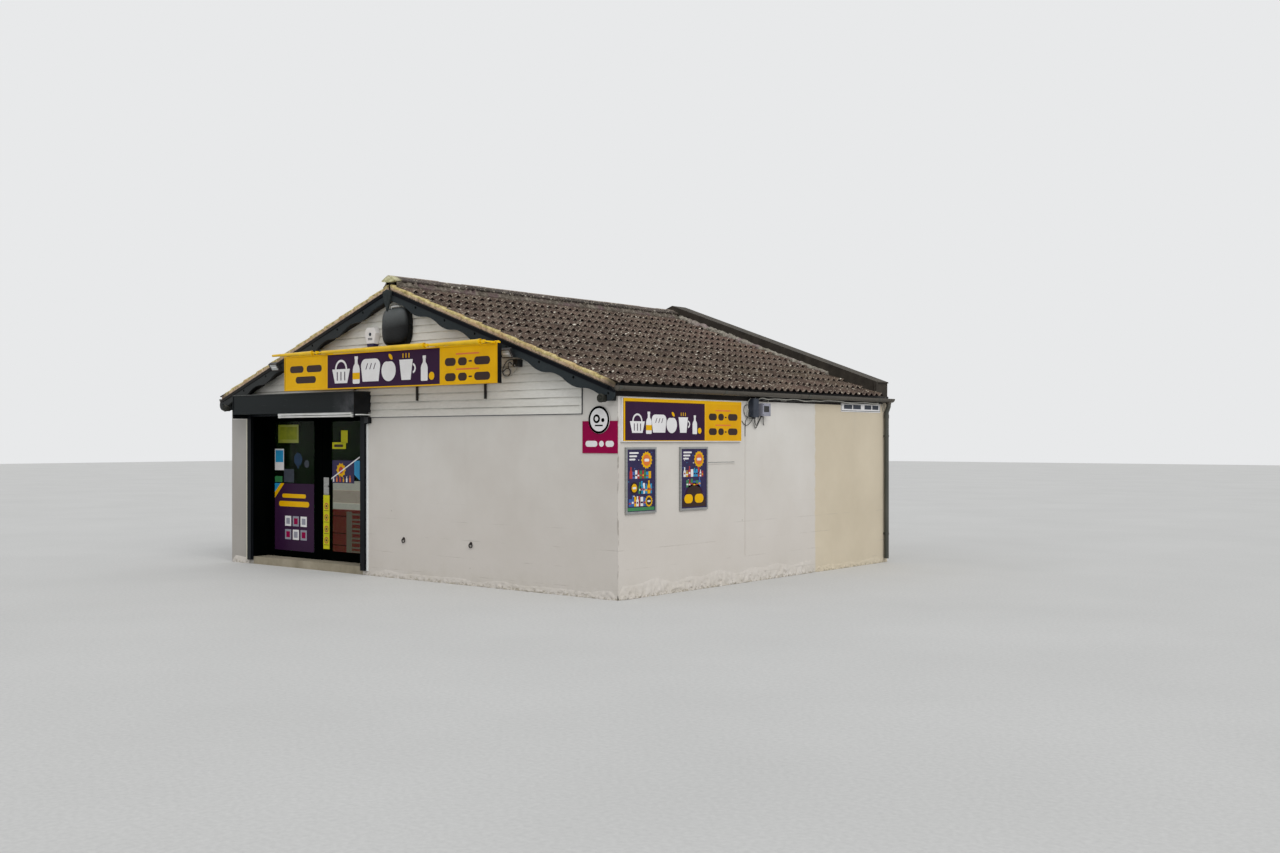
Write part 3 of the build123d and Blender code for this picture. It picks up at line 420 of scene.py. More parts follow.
def lapped_boards(name):
    """White painted boards: dirt and painted shade under each lap, streaked, faintly green near the top, and
    painted lighter higher up.
    """
    p = Paint(name, Specular_IOR_Level=0.25)
    z = p.axis("Z")
    lap = p.part(p.times(p.minus(z, CLAD_LOW), 1 / BOARD_PITCH))
    large, fine = p.noise(2.2, 5, (0.25, 1, 1)), p.noise(60, 3, (0.25, 1, 1))
    p.finish = p.mix(p.span(large, 0.28, 0.74), (226, 224, 217), (202, 199, 190))
    # Painted light: the upper boards are painted lighter, lifting the shade under the eaves.
    p.over(p.span(z, 2.75, 3.1), p.mix(p.span(large, 0.28, 0.74), (240, 238, 230), (222, 219, 210)))
    p.over(p.span(fine, 0.3, 0.75, 0.0, 0.2), (168, 164, 154))
    # Dirt and painted shade: a darker, patchy band on each board just under the lap of the board above.
    grime_and_shade = p.times(p.span(lap, 0.74, 0.96, 0.0, 0.65), p.span(p.noise(6, 5, (0.3, 1, 1)), 0.4, 0.62))
    p.over(grime_and_shade, (104, 100, 90))
    moss = p.times(p.span(z, 3.15, 3.6, 0.0, 0.3), p.span(p.noise(7, 4), 0.48, 0.66))
    p.over(moss, (168, 168, 138))
    return p.done(p.span(large, 0.3, 0.7, 0.45, 0.62), fine, 0.25, 0.002)


def dome_with_painted_highlight(name):
    """Black moulding: paler towards its top with a painted highlight, deep black below, with painted shade on
    its side towards +X.
    """
    p = Paint(name, Specular_IOR_Level=0.16)
    fine = p.noise(160, 3)
    high = p.plus(p.axis("Z"), p.span(p.noise(3, 4), 0.3, 0.7, -0.03, 0.03))
    # Painted highlight: the moulding turns paler towards its top.
    p.finish = p.mix(p.span(high, 3.34, 3.58), (5, 6, 6), (98, 102, 102))
    p.over(p.span(fine, 0.35, 0.75, 0.0, 0.2), (6, 6, 7))
    # Painted shade: the faces towards +X are darkened.
    p.over(p.span(p.facing((1, 0, 0)), 0.3, 0.75, 0.0, 0.8), (8, 9, 9))
    return p.done(p.span(fine, 0.3, 0.7, 0.22, 0.32), fine, 0.06, 0.001)


M = {
    "render": white_render("painted_render"),
    # The pier's copy of the render carries painted shade on its street face.
    "render_pier": white_render("painted_render_pier", front_shade=0.46),
    "render_side": white_render("painted_render_side", 1.103),
    "boards": lapped_boards("white_boards"),
    "dome": dome_with_painted_highlight("housing_black"),
    "timber": board_paint("black_timber"),
    "tile": lichen_tile("roof_tile"),
    "ridge": lichen_tile("ridge_tile", True),
    # The near-black tail material is painted shade, on the tile tails and on the plate under the ridge's
    # front end.
    "tail": mortar("tile_tails_painted_shade", (24, 19, 16), (42, 34, 29), (70, 59, 51)),
    "verge": mortar("verge_mortar", (124, 112, 66), (188, 170, 116), (220, 204, 154), (200, 174, 148)),
    "bedding": mortar("ridge_mortar", (66, 59, 52), (98, 90, 80), (142, 134, 122)),
    "cap": mortar("lichened_mortar", (142, 138, 98), (196, 192, 150), (224, 220, 186)),
    "cement": mortar("pale_cement", (104, 98, 88), (140, 134, 122), (176, 170, 158)),
    "shutter": box_paint("shutter_metal"),
    "glass": glass("shop_glass", 0.3),
    "unit_pale": glowing_coat("unit_pale", (204, 206, 192), (160, 158, 146), 0.6),
    "unit_grey": glowing_coat("unit_grey", (172, 164, 150), (140, 116, 104), 0.72),
    "unit_dull": glowing_coat("unit_dull", (108, 104, 92), (88, 78, 70), 0.7),
    "unit_red": glowing_coat("unit_red", (116, 46, 42), (74, 32, 28), 0.55),
}

# Plain coats: name, colour, worn colour, roughness, size of the patches and of the grain, bump, the rest
ALONG = (1, 0.3, 1)
DOWN = (1, 1, 0.3)
DOWN_FINE = (1, 1, 0.2)
COATS = {
    "concrete": ("worn_concrete", (160, 150, 130), (120, 112, 92), (0.75, 0.95), 3, 120, 0.5, {"dust": 0.1}),
    "finial": ("finial_paint", (40, 45, 46), (64, 68, 67), (0.4, 0.6), 11, 70, 0.3,
     {"stretch": ALONG, "dust": 0.2, "gloss": 0.05}),
    "plate_knob": ("weathered_knob", (24, 25, 25), (74, 74, 66), (0.5, 0.7), 22, 90, 0.4,
     {"dust": 0.3, "wear": 0.9, "gloss": 0.05}),
    "plates": ("black_plates", (22, 25, 27), (44, 47, 47), (0.35, 0.55), 9, 70, 0.3,
     {"stretch": ALONG, "dust": 0.2, "gloss": 0.05}),
    "fascia": (
        "black_fascia", (36, 34, 34), (56, 53, 51), (0.3, 0.5), 3, 60, 0.3, {"stretch": ALONG, "gloss": 0.1}
    ),
    "slab": ("roof_timber", (44, 40, 38), (30, 27, 26), (0.8, 0.95), 3, 60, 0.5, {"gloss": 0.2}),
    "flashing": ("bitumen_sheet", (42, 38, 34), (78, 72, 64), (0.6, 0.85), 7, 140, 0.5,
     {"wear": 0.8, "dust": 0.2, "gloss": 0.1}),
    "pipe": (
        "grey_pipe", (58, 60, 54), (84, 82, 74), (0.4, 0.6), 6, 160, 0.12, {"stretch": DOWN, "dust": 0.3}
    ),
    "gutter": ("gutter_plastic", (66, 62, 55), (104, 98, 90), (0.35, 0.55), 5, 120, 0.15,
     {"stretch": ALONG, "wear": 0.8, "dust": 0.6, "gloss": 0.2}),
    # The guides' faces towards +X are painted near black: painted shade on their sides.
    "guide": ("guide_metal", (20, 22, 25), (38, 41, 45), (0.35, 0.5), 4, 130, 0.1,
     {"stretch": DOWN, "faces": [((1, 0, 0), 0.5, (10, 12, 16))], "gloss": 0.06}),
    "frame": (
        "black_frame", (1, 3, 2), (5, 7, 6), (0.45, 0.65), 4, 150, 0.1, {"stretch": DOWN, "gloss": 0.0}
    ),
    "steel": ("handle_steel", (165, 165, 162), (130, 130, 128), (0.25, 0.45), 8, 200, 0.15,
     {"stretch": (1, 1, 6), "metal": 1.0}),
    "white": ("white_plastic", (226, 226, 224), (204, 203, 196), (0.3, 0.5), 5, 160, 0.08, {"dust": 0.3}),
    # The sign's end face towards +X is painted near black and its underside orange-brown: painted shade.
    "sign": ("sign_yellow", (230, 176, 0), (210, 156, 0), (0.28, 0.42), 3, 120, 0.05,
     {"faces": [((1, 0, 0), 0.5, (20, 20, 22)), ((0, 0, -1), 0.5, (150, 102, 34))], "gloss": 0.08}),
    "trough": (
        "trough_yellow", (246, 200, 6), (214, 168, 4), (0.25, 0.4), 4, 120, 0.06, {"dust": 0.12, "gloss": 0.2}
    ),
    "navy": (
        "print_navy", (30, 30, 66), (62, 48, 88), (0.3, 0.42), 9, 120, 0.04, {"wear": 0.9, "gloss": 0.15}
    ),
    "lemon_dim": ("notice_yellow", (150, 156, 34), (92, 100, 30), (0.3, 0.42), 9, 120, 0.04,
     {"wear": 0.9, "gloss": 0.08}),
    "pink": ("plate_pink", (148, 0, 66), (132, 0, 60), (0.3, 0.45), 4, 120, 0.05, {"gloss": 0.06}),
    "dim_blue": ("dim_blue", (16, 52, 84), (20, 40, 62), (0.3, 0.45), 8, 120, 0.05, {"gloss": 0.15}),
    "trim": (
        "cream_trim", (208, 204, 184), (190, 186, 166), (0.45, 0.6), 6, 120, 0.1, {"stretch": DOWN_FINE}
    ),
    "bright_trim": (
        "white_trim", (232, 234, 232), (212, 214, 212), (0.4, 0.55), 6, 120, 0.1, {"stretch": DOWN_FINE}
    ),
    "slate": ("slate_plastic", (44, 50, 60), (66, 70, 80), (0.4, 0.55), 14, 160, 0.12, {"gloss": 0.2}),
    "lilac": ("meter_plastic", (150, 150, 162), (132, 132, 142), (0.4, 0.55), 9, 160, 0.1, {"gloss": 0.25}),
    "black_steel": ("black_steel", (22, 23, 24), (56, 46, 40), (0.4, 0.65), 12, 150, 0.25, {"metal": 0.3}),
    "silver": ("frame_silver", (172, 173, 172), (146, 147, 146), (0.3, 0.5), 8, 200, 0.1,
     {"stretch": (1, 1, 5), "metal": 0.8}),
    "grey": ("grey_plastic", (126, 128, 126), (106, 108, 104), (0.45, 0.6), 6, 140, 0.12, {"dust": 0.3}),
    "lens": ("lamp_lens", (196, 200, 198), (176, 180, 178), (0.08, 0.2), 9, 90, 0.05, {"metal": 0.2}),
    "wire": ("wire_black", (22, 22, 23), (44, 43, 42), (0.45, 0.6), 20, 200, 0.1, {}),
    "wire_pale": ("wire_pale", (186, 184, 176), (150, 147, 138), (0.45, 0.6), 20, 200, 0.1, {}),
    "lamp": ("lamp_body", (24, 25, 26), (42, 42, 42), (0.35, 0.55), 8, 150, 0.12,
     {"faces": [((0, -0.819, -0.574), 0.9, (178, 180, 178))]}),
    "alarm": ("alarm_plastic", (236, 232, 230), (216, 213, 208), (0.3, 0.45), 6, 150, 0.08, {}),
}
for key, (*row, more) in COATS.items():
    M[key] = coat(*row, **more)

# Inks and vinyls: name, colour, worn colour, roughness, size of the patches, gloss
INKS = {
    "yellow": ("print_yellow", (236, 182, 0), (218, 162, 0), (0.28, 0.4), 2, 0.08),
    "purple": ("print_purple", (48, 22, 52), (56, 31, 58), (0.28, 0.4), 2, 0.06),
    "pale_yellow": ("pale_yellow", (238, 190, 40), (222, 172, 20), (0.28, 0.4), 2, 0.08),
    "deep_yellow": ("deep_yellow", (226, 170, 0), (210, 152, 0), (0.28, 0.4), 2, 0.08),
    "sign_line": ("sign_line", (96, 60, 14), (74, 44, 22), (0.3, 0.45), 4, 0.05),
    "lemon": ("print_lemon", (206, 200, 24), (186, 182, 22), (0.28, 0.4), 6, 0.08),
    "print_white": ("print_white", (232, 230, 230), (216, 214, 212), (0.28, 0.4), 3, 0.4),
    "ink": ("print_ink", (46, 28, 24), (60, 42, 32), (0.3, 0.42), 3, 0.15),
    "orange": ("print_orange", (222, 120, 30), (206, 96, 28), (0.3, 0.42), 6, 0.4),
    "red": ("print_red", (176, 36, 34), (150, 30, 32), (0.35, 0.5), 6, 0.4),
    "green": ("print_green", (54, 128, 74), (44, 108, 62), (0.3, 0.42), 6, 0.4),
    "blue": ("print_blue", (46, 96, 168), (38, 80, 146), (0.3, 0.42), 6, 0.4),
    "lime": ("print_lime", (148, 152, 44), (112, 122, 40), (0.3, 0.42), 6, 0.4),
    "cyan": ("print_cyan", (40, 150, 196), (34, 128, 176), (0.3, 0.42), 6, 0.2),
}
INK_GRAIN = 120
INK_BUMP = 0.04
for key, (*row, gloss) in INKS.items():
    M[key] = coat(*row, INK_GRAIN, INK_BUMP, gloss=gloss)

# Which nodes of the part wear which material
DRESS = {
    "concrete": "floor_slab",
    "render_pier": "left_pier",
    "render": "front_panel gable_wall left_wall",
    "render_side": "right_wall back_wall",
    "flashing": "back_flashing",
    "plates": "wall_plates",
    "slab": "roof_right roof_left",
    "timber": "bargeboard_right bargeboard_left",
    "finial": "gable_finial",
    "fascia": "fascia_boards",
    "gutter": "gutter_right gutter_left",
    "pipe": "downpipes",
    "shutter": "shutter_box",
    "guide": "shutter_guides shutter_bottom_rail",
    "frame": "reveal_lining screen_frame side_light_frame door_leaf",
    "glass": "side_light_glass door_glass",
    "steel": "door_handle",
    "white": "tube_light",
    "sign": "main_sign",
    "black_steel": "sign_brackets wall_rings",
    "trough": "trough_light",
    "dome": "gable_housing",
    "alarm": "alarm_box",
    "lamp": "floodlights",
    "pink": "square_plate",
    "print_white": "round_disc wall_sign street_nameplate",
    "silver": "poster_frames",
    "grey": "wall_boxes",
}
for key, names in DRESS.items():
    for node in names.split():
        for place in nodes[node].material_slots:
            place.material = M[key]


# Mesh building
class Build:
    """Gathers vertices, faces and their materials, then makes one piece."""

    def __init__(self):
        self.verts, self.faces, self.mats, self.tones = [], [], [], []

    def add(self, verts, faces, mat=0, tone=0.5):
        n = len(self.verts)
        self.verts += [tuple(v) for v in verts]
        self.faces += [tuple(n + i for i in face) for face in faces]
        self.mats += [mat] * len(faces)
        self.tones += [tone] * len(verts)

    def prism(self, outline, place, a, b, mat=0, tone=0.5):
        """A plate of any outline between two depths of a placed plane."""
        k = len(outline)
        verts = [place(u, v, a) for u, v in outline] + [place(u, v, b) for u, v in outline]
        faces = [tuple(reversed(range(k))), tuple(range(k, 2 * k))]
        faces += [(i, (i + 1) % k, k + (i + 1) % k, k + i) for i in range(k)]
        self.add(verts, faces, mat, tone)

    def bar(self, u0, v0, u1, v1, place, a, b, mat=0, tone=0.5):
        self.prism([(u0, v0), (u1, v0), (u1, v1), (u0, v1)], place, a, b, mat, tone)

    def grid(self, rows, mat=0, tone=0.5, closed=False):
        """A sheet through rows of points, all of one length, or a closed form through outlines."""
        n, verts = len(rows[0]), [p for row in rows for p in row]
        faces = [
            (r * n + c, r * n + (c + 1) % n, (r + 1) * n + (c + 1) % n, (r + 1) * n + c)
            for r in range(len(rows) - 1)
            for c in range(n if closed else n - 1)
        ]
        if closed:
            faces += [tuple(reversed(range(n))), tuple(range(len(verts) - n, len(verts)))]
        self.add(verts, faces, mat, tone)

    def loft(self, rows, mat=0, tone=0.5):
        self.grid(rows, mat, tone, closed=True)

    def films(self, rows, place, base, thick):
        """Flat rectangles of film or print: left, low, right, high, layer and material."""
        for u0, v0, u1, v1, layer, mat in rows:
            self.bar(u0, v0, u1, v1, place, base + layer * thick, base + (layer + 1) * thick, mat)

    def turned(self, rings, place, n, mat=0):
        """A closed round form through rings of (along, radius) about a placed line."""
        angles = [2 * math.pi * j / n for j in range(n)]
        self.loft([[place(a, r * math.cos(t), r * math.sin(t)) for t in angles] for a, r in rings], mat)

    def make(self, name, mats, body="building", replaces=(), bevel=0.0, smooth=None, tidy=True):
        mesh = bpy.data.meshes.new(name)
        mesh.from_pydata(self.verts, [], self.faces)
        for key in mats:
            mesh.materials.append(M[key])
        mesh.polygons.foreach_set("material_index", self.mats)
        mesh.attributes.new("tone", "FLOAT", "POINT").data.foreach_set("value", self.tones)
        if tidy:
            bm = bmesh.new()
            bm.from_mesh(mesh)
            bmesh.ops.recalc_face_normals(bm, faces=bm.faces)
            bm.to_mesh(mesh)
            bm.free()
        mesh.update()
        obj = stand(name, mesh)
        if smooth is not None:
            mesh.set_sharp_from_angle(angle=math.radians(smooth))
            mesh.polygons.foreach_set("use_smooth", [True] * len(mesh.polygons))
        if bevel:
            mod = obj.modifiers.new("edges", "BEVEL")
            mod.width = bevel
            mod.segments = 2
            mod.limit_method = "ANGLE"
        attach(obj, body)
        if replaces:
            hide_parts(*replaces)
        return obj


def clip(outline, keep):
    """The part of a convex outline where keep(u, v) is above zero."""
    out = []
    for (u0, v0), (u1, v1) in zip(outline, outline[1:] + outline[:1]):
        k0, k1 = keep(u0, v0), keep(u1, v1)
        if k0 >= 0:
            out.append((u0, v0))
        if k0 * k1 < 0:
            t = k0 / (k0 - k1)
            out.append((u0 + t * (u1 - u0), v0 + t * (v1 - v0)))
    return out


def wander(x, y, z):
    """Smooth noise at a point, for what is lumpy or uneven."""
    return noise.noise(Vector((x, y, z)))


def circle(u, v, r, n, start=0.0, end=360.0):
    whole = abs(end - start) >= 360
    steps = n if whole else n + 1
    return [
        (u + r * math.cos(a), v + r * math.sin(a))
        for a in (math.radians(start + (end - start) * i / n) for i in range(steps))
    ]


def ring(b, u, v, r0, r1, place, a, d, mat, n, start=0.0, end=360.0):
    """A flat ring, or a bow of one, between two radii and two depths."""
    inner, outer = circle(u, v, r0, n, start, end), circle(u, v, r1, n, start, end)
    k = len(inner)
    verts = [place(*spot, depth) for depth in (a, d) for line in (inner, outer) for spot in line]
    faces = []
    for i in range(n):
        j = (i + 1) % k
        for p0, p1 in ((0, 1), (1, 3), (3, 2), (2, 0)):
            faces.append((p0 * k + i, p0 * k + j, p1 * k + j, p1 * k + i))
    if k > n:
        faces += [(0, k, 3 * k, 2 * k), (k - 1, 2 * k - 1, 4 * k - 1, 3 * k - 1)]
    b.add(verts, faces, mat)


def wire(name, points, radius, key, slot="black_plastic", body="building"):
    """A fixed wire along a smooth line."""
    curve = bpy.data.curves.new(name, "CURVE")
    curve.dimensions = "3D"
    curve.bevel_depth = radius
    curve.bevel_resolution = 2
    curve.resolution_u = 6
    line = curve.splines.new("NURBS")
    line.points.add(len(points) - 1)
    for p, co in zip(line.points, points):
        p.co = (*co, 1)
    line.order_u = 3
    line.use_endpoint_u = True
    curve.materials.append(M[key])
    obj = stand(name, curve)
    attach(obj, body)


# Roof tiles: courses of overlapping tiles, two rolls to a tile
TILE_COVER = 0.30
TILE_GAP = 0.002
TILE_COLUMNS = 20
TILES_ACROSS = 21
TILE_LAP = 0.03
ROOF_BACK = 6.0
COURSES = 12
TAIL_THICK = 0.013
TILE_SINK = 0.0265
TILE_TAPER = 0.016
ROLL_HIGH = 0.033
ROLL_LOSS = 0.018


def roll(u):
    """Height share of the tile across one roll: a rounded crown between wide hollows."""
    w = abs((u % ROLL_PITCH) / ROLL_PITCH - 0.5) / 0.5
    crown = max(0.0, math.cos(math.pi * min(w / 0.66, 1.0) / 2)) ** 1.2
    return crown - 0.1 * math.cos(math.pi * (1 - w) / 2) ** 2


def tile_slope(side, name, seed):
    rng = random.Random(seed)
    b = Build()
    for course in range(COURSES):
        tail = EAVE_X - TILE_GAUGE * course
        for i in range(TILES_ACROSS):
            s0 = -VERGE + TILE_COVER * i
            width = min(TILE_COVER, ROOF_BACK - s0) - TILE_GAP
            columns = max(4, round(TILE_COLUMNS * width / TILE_COVER))
            tone = rng.random()
            lift = rng.uniform(-0.0015, 0.0015)
            tilt = rng.uniform(-0.0012, 0.0012)
            slip = rng.uniform(-0.004, 0.004 if course else 0.0)

            def point(k, t, drop):
                u = width * k / columns
                x = tail + slip - t
                share = t / TILE_GAUGE
                high = ROLL_HIGH - ROLL_LOSS * share
                z = tile_z(x) - TILE_SINK - TILE_TAPER * share + high * roll(u) + lift
                return (side * x, FRONT + s0 + u, z + tilt * (u / TILE_COVER - 0.5) - drop)

            steps = [(0.07, TAIL_THICK), (0.0, TAIL_THICK), (0.0, 0.004), (0.006, 0.0), (0.12, 0.0)]
            steps.append((TILE_GAUGE + TILE_LAP, 0.0))
            start = len(b.mats)
            b.grid([[point(k, t, d) for k in range(columns + 1)] for t, d in steps], 0, tone)
            # The tail's underside and front face take the near-black tail material: painted shade under each
            # tail.
            b.mats[start : start + 2 * columns] = [1] * (2 * columns)
    return b.make(name, ["tile", "tail"], smooth=50, tidy=False)


tile_slope(1, "roof_tiles_right", 11).data.flip_normals()
tile_slope(-1, "roof_tiles_left", 12)

# Ridge: low angled tiles with rounded tops, bedded on mortar
RIDGE_HALF = 0.138
RIDGE_TOP = 4.048
RIDGE_FALL = 0.58
RIDGE_SOFT = 0.03
RIDGE_START = -0.172
RIDGE_END = 5.95
RIDGE_COUNT = 14
RIDGE_THICK = 0.017
BEDDING_STEPS = 259


def ridge_z(x):
    return RIDGE_TOP - RIDGE_FALL * (math.hypot(x, RIDGE_SOFT) - RIDGE_SOFT)


def ridge_section(s, inset, half, turn, lift):
    across = [half * (k / 10 - 1) for k in range(21)]
    top = [(x + turn, FRONT + s, ridge_z(x) + lift - inset) for x in across]
    low = [(x * 0.97 + turn, FRONT + s, ridge_z(x) + lift - RIDGE_THICK) for x in reversed(across)]
    return top + low


ridge = Build()
rng = random.Random(5)
length = (RIDGE_END - RIDGE_START) / RIDGE_COUNT
for i in range(RIDGE_COUNT):
    s0 = RIDGE_START + i * length
    s1 = s0 + length - 0.006
    lift, turn, tone = rng.uniform(-0.007, 0.0), rng.uniform(-0.004, 0.004), rng.random()
    steps = ((s0, 0.004, -0.002), (s0 + 0.004, 0, 0), (s1 - 0.004, 0, 0), (s1, 0.004, 0))
    ridge.loft([ridge_section(s, inset, RIDGE_HALF + more, turn, lift) for s, inset, more in steps], 0, tone)
    if i:
        seam = [ridge_section(s, 0.002, RIDGE_HALF - 0.001, turn, lift) for s in (s0 - 0.012, s0 + 0.004)]
        ridge.loft([[(x, y, z - 0.004) for x, y, z in row] for row in seam], 1)
for side in (-1, 1):
    rows = []
    for k in range(BEDDING_STEPS + 1):
        s = RIDGE_START + 0.06 + (RIDGE_END - RIDGE_START - 0.068) * k / BEDDING_STEPS
        n = wander(s * 9, side * 3.0, 0)
        m = wander(s * 23, side * 7.0, 4)
        foot = 0.176 + 0.014 * n
        line = (
            (0.06, ridge_z(0.06) - 0.022),
            (RIDGE_HALF - 0.034, ridge_z(RIDGE_HALF - 0.034) - 0.022),
            (RIDGE_HALF - 0.022 + 0.05 * m, ridge_z(RIDGE_HALF) - RIDGE_THICK + 0.003 * n),
            (RIDGE_HALF + 0.008 + 0.03 * m, tile_z(RIDGE_HALF) + 0.006 + 0.010 * n),
            (foot, tile_z(foot) - 0.008 + 0.006 * m),
            (foot - 0.006, tile_z(foot) - 0.05),
            (0.06, tile_z(0.06) - 0.05),
        )
        rows.append([(side * x, FRONT + s, z) for x, z in line])
    ridge.loft(rows, 1)
# A near-black plate closes the hollow under the ridge's front end: painted shade.
stop = [(-0.10, tile_z(0.1) - 0.03), (-0.10, ridge_z(0.1) - 0.018), (0, RIDGE_TOP - 0.02)]
stop += [(0.10, ridge_z(0.1) - 0.018), (0.10, tile_z(0.1) - 0.03)]
ridge.prism(stop, front, 0.10, 0.112, 3)
cap = [(-0.122, ridge_z(0.122) - 0.030), (-0.122, ridge_z(0.122) - 0.012), (0, RIDGE_TOP - 0.012)]
cap += [(0.122, ridge_z(0.122) - 0.012), (0.122, ridge_z(0.122) - 0.030), (0.05, 3.952), (-0.05, 3.952)]
ridge.prism(cap, front, 0.112, 0.178, 2)
ridge.make("ridge", ["ridge", "bedding", "cap", "tail"], replaces=["ridge_tiles"], smooth=45)

# Verge mortar: lumpy, stepped with the courses, stopping short of the ridge and of the eave
VERGE_START = 0.03
VERGE_END = 3.93
VERGE_STEPS = 420
verge = Build()
for side in (-1, 1):
    rows = []
    for k in range(VERGE_STEPS + 1):
        x = VERGE_START + (VERGE_END - VERGE_START) * k / VERGE_STEPS
        step = ((EAVE_X - x) / TILE_GAUGE) % 1.0
        n = wander(x * 14, side * 5.0, 1)
        m = wander(x * 37, side * 9.0, 2)
        end = max(0.0, (x - VERGE_END + 0.10) / 0.10)
        top = tile_z(x) - 0.031 - 0.014 * step + 0.0012 * n - 0.02 * end
        low = tile_z(x) - 0.112 + 0.0018 * m
        deep = 0.163 + 0.0025 * n + 0.0012 * m - 0.02 * end
        line = [
            (0.10, top), (0.136, top + 0.002 * m), (deep - 0.008, top - 0.006),
            (deep, top - 0.022 + 0.003 * m),
        ]
        line += [
            (deep - 0.003 + 0.004 * n, (top + low) / 2), (deep - 0.006, low + 0.014), (0.150, low),
            (0.134, low),
        ]
        rows.append([(side * x, FRONT - s, z) for s, z in line])
    verge.grid(rows)
    for outline in (rows[0], rows[-1]):
        verge.add(outline, [tuple(range(len(outline)))])
verge.make("verge_bedding", ["verge"], replaces=["verge_mortar"], smooth=55)

# Weatherboards of the gable, lapped, with end trims
CLAD_X = 3.317
TRIM_WIDE = 0.032
BOX_TOP = 2.516
BOX_RIGHT = -0.56
BOARD_GAP = 0.001
BOARD_FOOT = 0.018
BOARD_LEAN = 0.12
TRIM_LOW = CLAD_LOW - 0.008
boards = Build()
z = CLAD_LOW
while z < tile_z(0) - SOFFIT_DROP:
    top = z + BOARD_PITCH - BOARD_GAP
    whole = [(-CLAD_X, z), (CLAD_X, z), (CLAD_X, top), (-CLAD_X, top)]
    for side in (-1, 1):
        whole = clip(whole, lambda u, v: tile_z(0) - RISE * side * u - SOFFIT_DROP - v)
    over_box = clip(clip(whole, lambda u, v: BOX_RIGHT - u), lambda u, v: v - BOX_TOP)
    for outline in (clip(whole, lambda u, v: u - BOX_RIGHT), over_box):
        if len(outline) > 2:
            leaning = lambda u, v, d: front(u, v, d * (BOARD_FOOT - BOARD_LEAN * (v - z)))
            boards.prism(outline, leaning, 0, 1, 0, (z * 7.3) % 1.0)
    z += BOARD_PITCH
trim_top = tile_z(CLAD_X) - SOFFIT_DROP
boards.bar(CLAD_X - TRIM_WIDE, CLAD_LOW, CLAD_X, trim_top, front, 0.0, 0.02)
# The dark strip under the lowest board is painted shadow under the boards' lower edge.
boards.bar(BOX_RIGHT, TRIM_LOW, CLAD_X, CLAD_LOW, front, 0.0, 0.013, 1)
boards.bar(CLAD_X, TRIM_LOW, CLAD_X + 0.004, trim_top, front, 0.0, 0.012, 1)
boards.make("weatherboards", ["boards", "slate"], replaces=["gable_cladding"])

# Wall plates, with the round ends that show under the scrolls of the boards
PLATE = (3.71, 3.84, 2.2571)
KNOB_X = 3.767
KNOB_Z = 2.333
plates = Build()
for side in (-1, 1):
    for low, s0, s1 in ((PLATE[2], -6.02, -0.02), (2.306, -0.02, VERGE)):
        outline = [(side * PLATE[0], low), (side * PLATE[1], low)]
        outline += [(side * x, tile_z(x) - SOFFIT_DROP) for x in (PLATE[1], PLATE[0])]
        plates.prism(outline, front, s0, s1)

    def on_nose(a, u, v):
        return (side * KNOB_X + u, FRONT - a, KNOB_Z + v)

    rings = [(0.11, 0.044), (0.168, 0.046), (0.174, 0.051), (0.197, 0.051), (0.203, 0.047), (0.205, 0.040)]
    plates.turned(rings + [(0.199, 0.036), (0.199, 0.018), (0.205, 0.014), (0.205, 0.004)], on_nose, 36, 1)
plates.make(
    "plate_ends", ["plates", "plate_knob"], replaces=["wall_plates"], bevel=0.002, smooth=40
)

# Housing under the apex: a domed barrel, with a strap over its top whose pale colour is a painted highlight
HOUSE_SHIFT = 0.04
HOUSE_MORE = 0.012
HOUSE_ROUND = 0.42
HOUSE_TAPER = 0.11
low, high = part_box("gable_housing")
HOUSE = ((low.x + high.x) / 2 - HOUSE_SHIFT, (low.z + high.z) / 2)
HOUSE += ((high.x - low.x) / 2 + HOUSE_MORE, (high.z - low.z) / 2)


def barrel(u, v, d):
    """A point of the housing from its outline's scale and angle, and its depth."""
    c, s = math.cos(v), math.sin(v)
    across, up = math.copysign(abs(c) ** HOUSE_ROUND, c), math.copysign(abs(s) ** HOUSE_ROUND, s)
    narrow = 1 - HOUSE_TAPER * up * up
    return (HOUSE[0] + HOUSE[2] * u * across * narrow, high.y - d, HOUSE[1] + HOUSE[3] * u * up)


deep = high.y - low.y + HOUSE_MORE
house = Build()
dome = [(1.0, 0.0), (1.0, 0.5), (0.985, 0.66), (0.955, 0.76), (0.9, 0.845)]
dome += [(0.8, 0.915), (0.62, 0.965), (0.36, 0.992), (0.1, 1.0)]
AROUND = 96
angles = [2 * math.pi * j / AROUND for j in range(AROUND)]
house.loft([[barrel(u, t, share * deep) for t in angles] for u, share in dome])
house.make("domed_housing", ["dome"], replaces=["gable_housing"], smooth=60)
strap = [
    (0.0, 0.10, 3.595), (0.01, 0.135, 3.606), (0.04, 0.14, 3.626), (0.10, 0.13, 3.632), (0.15, 0.11, 3.630)
]
wire("housing_strap", [front(x, z, d) for x, d, z in strap], 0.009, "bright_trim", "lamp_silver")

# Alarm box: a bevelled six-sided shell with a blue foot, a round lens and vents
ALARM_DEEP = 0.08
low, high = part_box("alarm_box")
ax, az, aw, ah = (low.x + high.x) / 2, (low.z + high.z) / 2, high.x - low.x, high.z - low.z


def on_alarm(u, v, d):
    k = 1 - 0.07 * d / ALARM_DEEP
    return (ax + u * k, high.y - d, az + v * k)


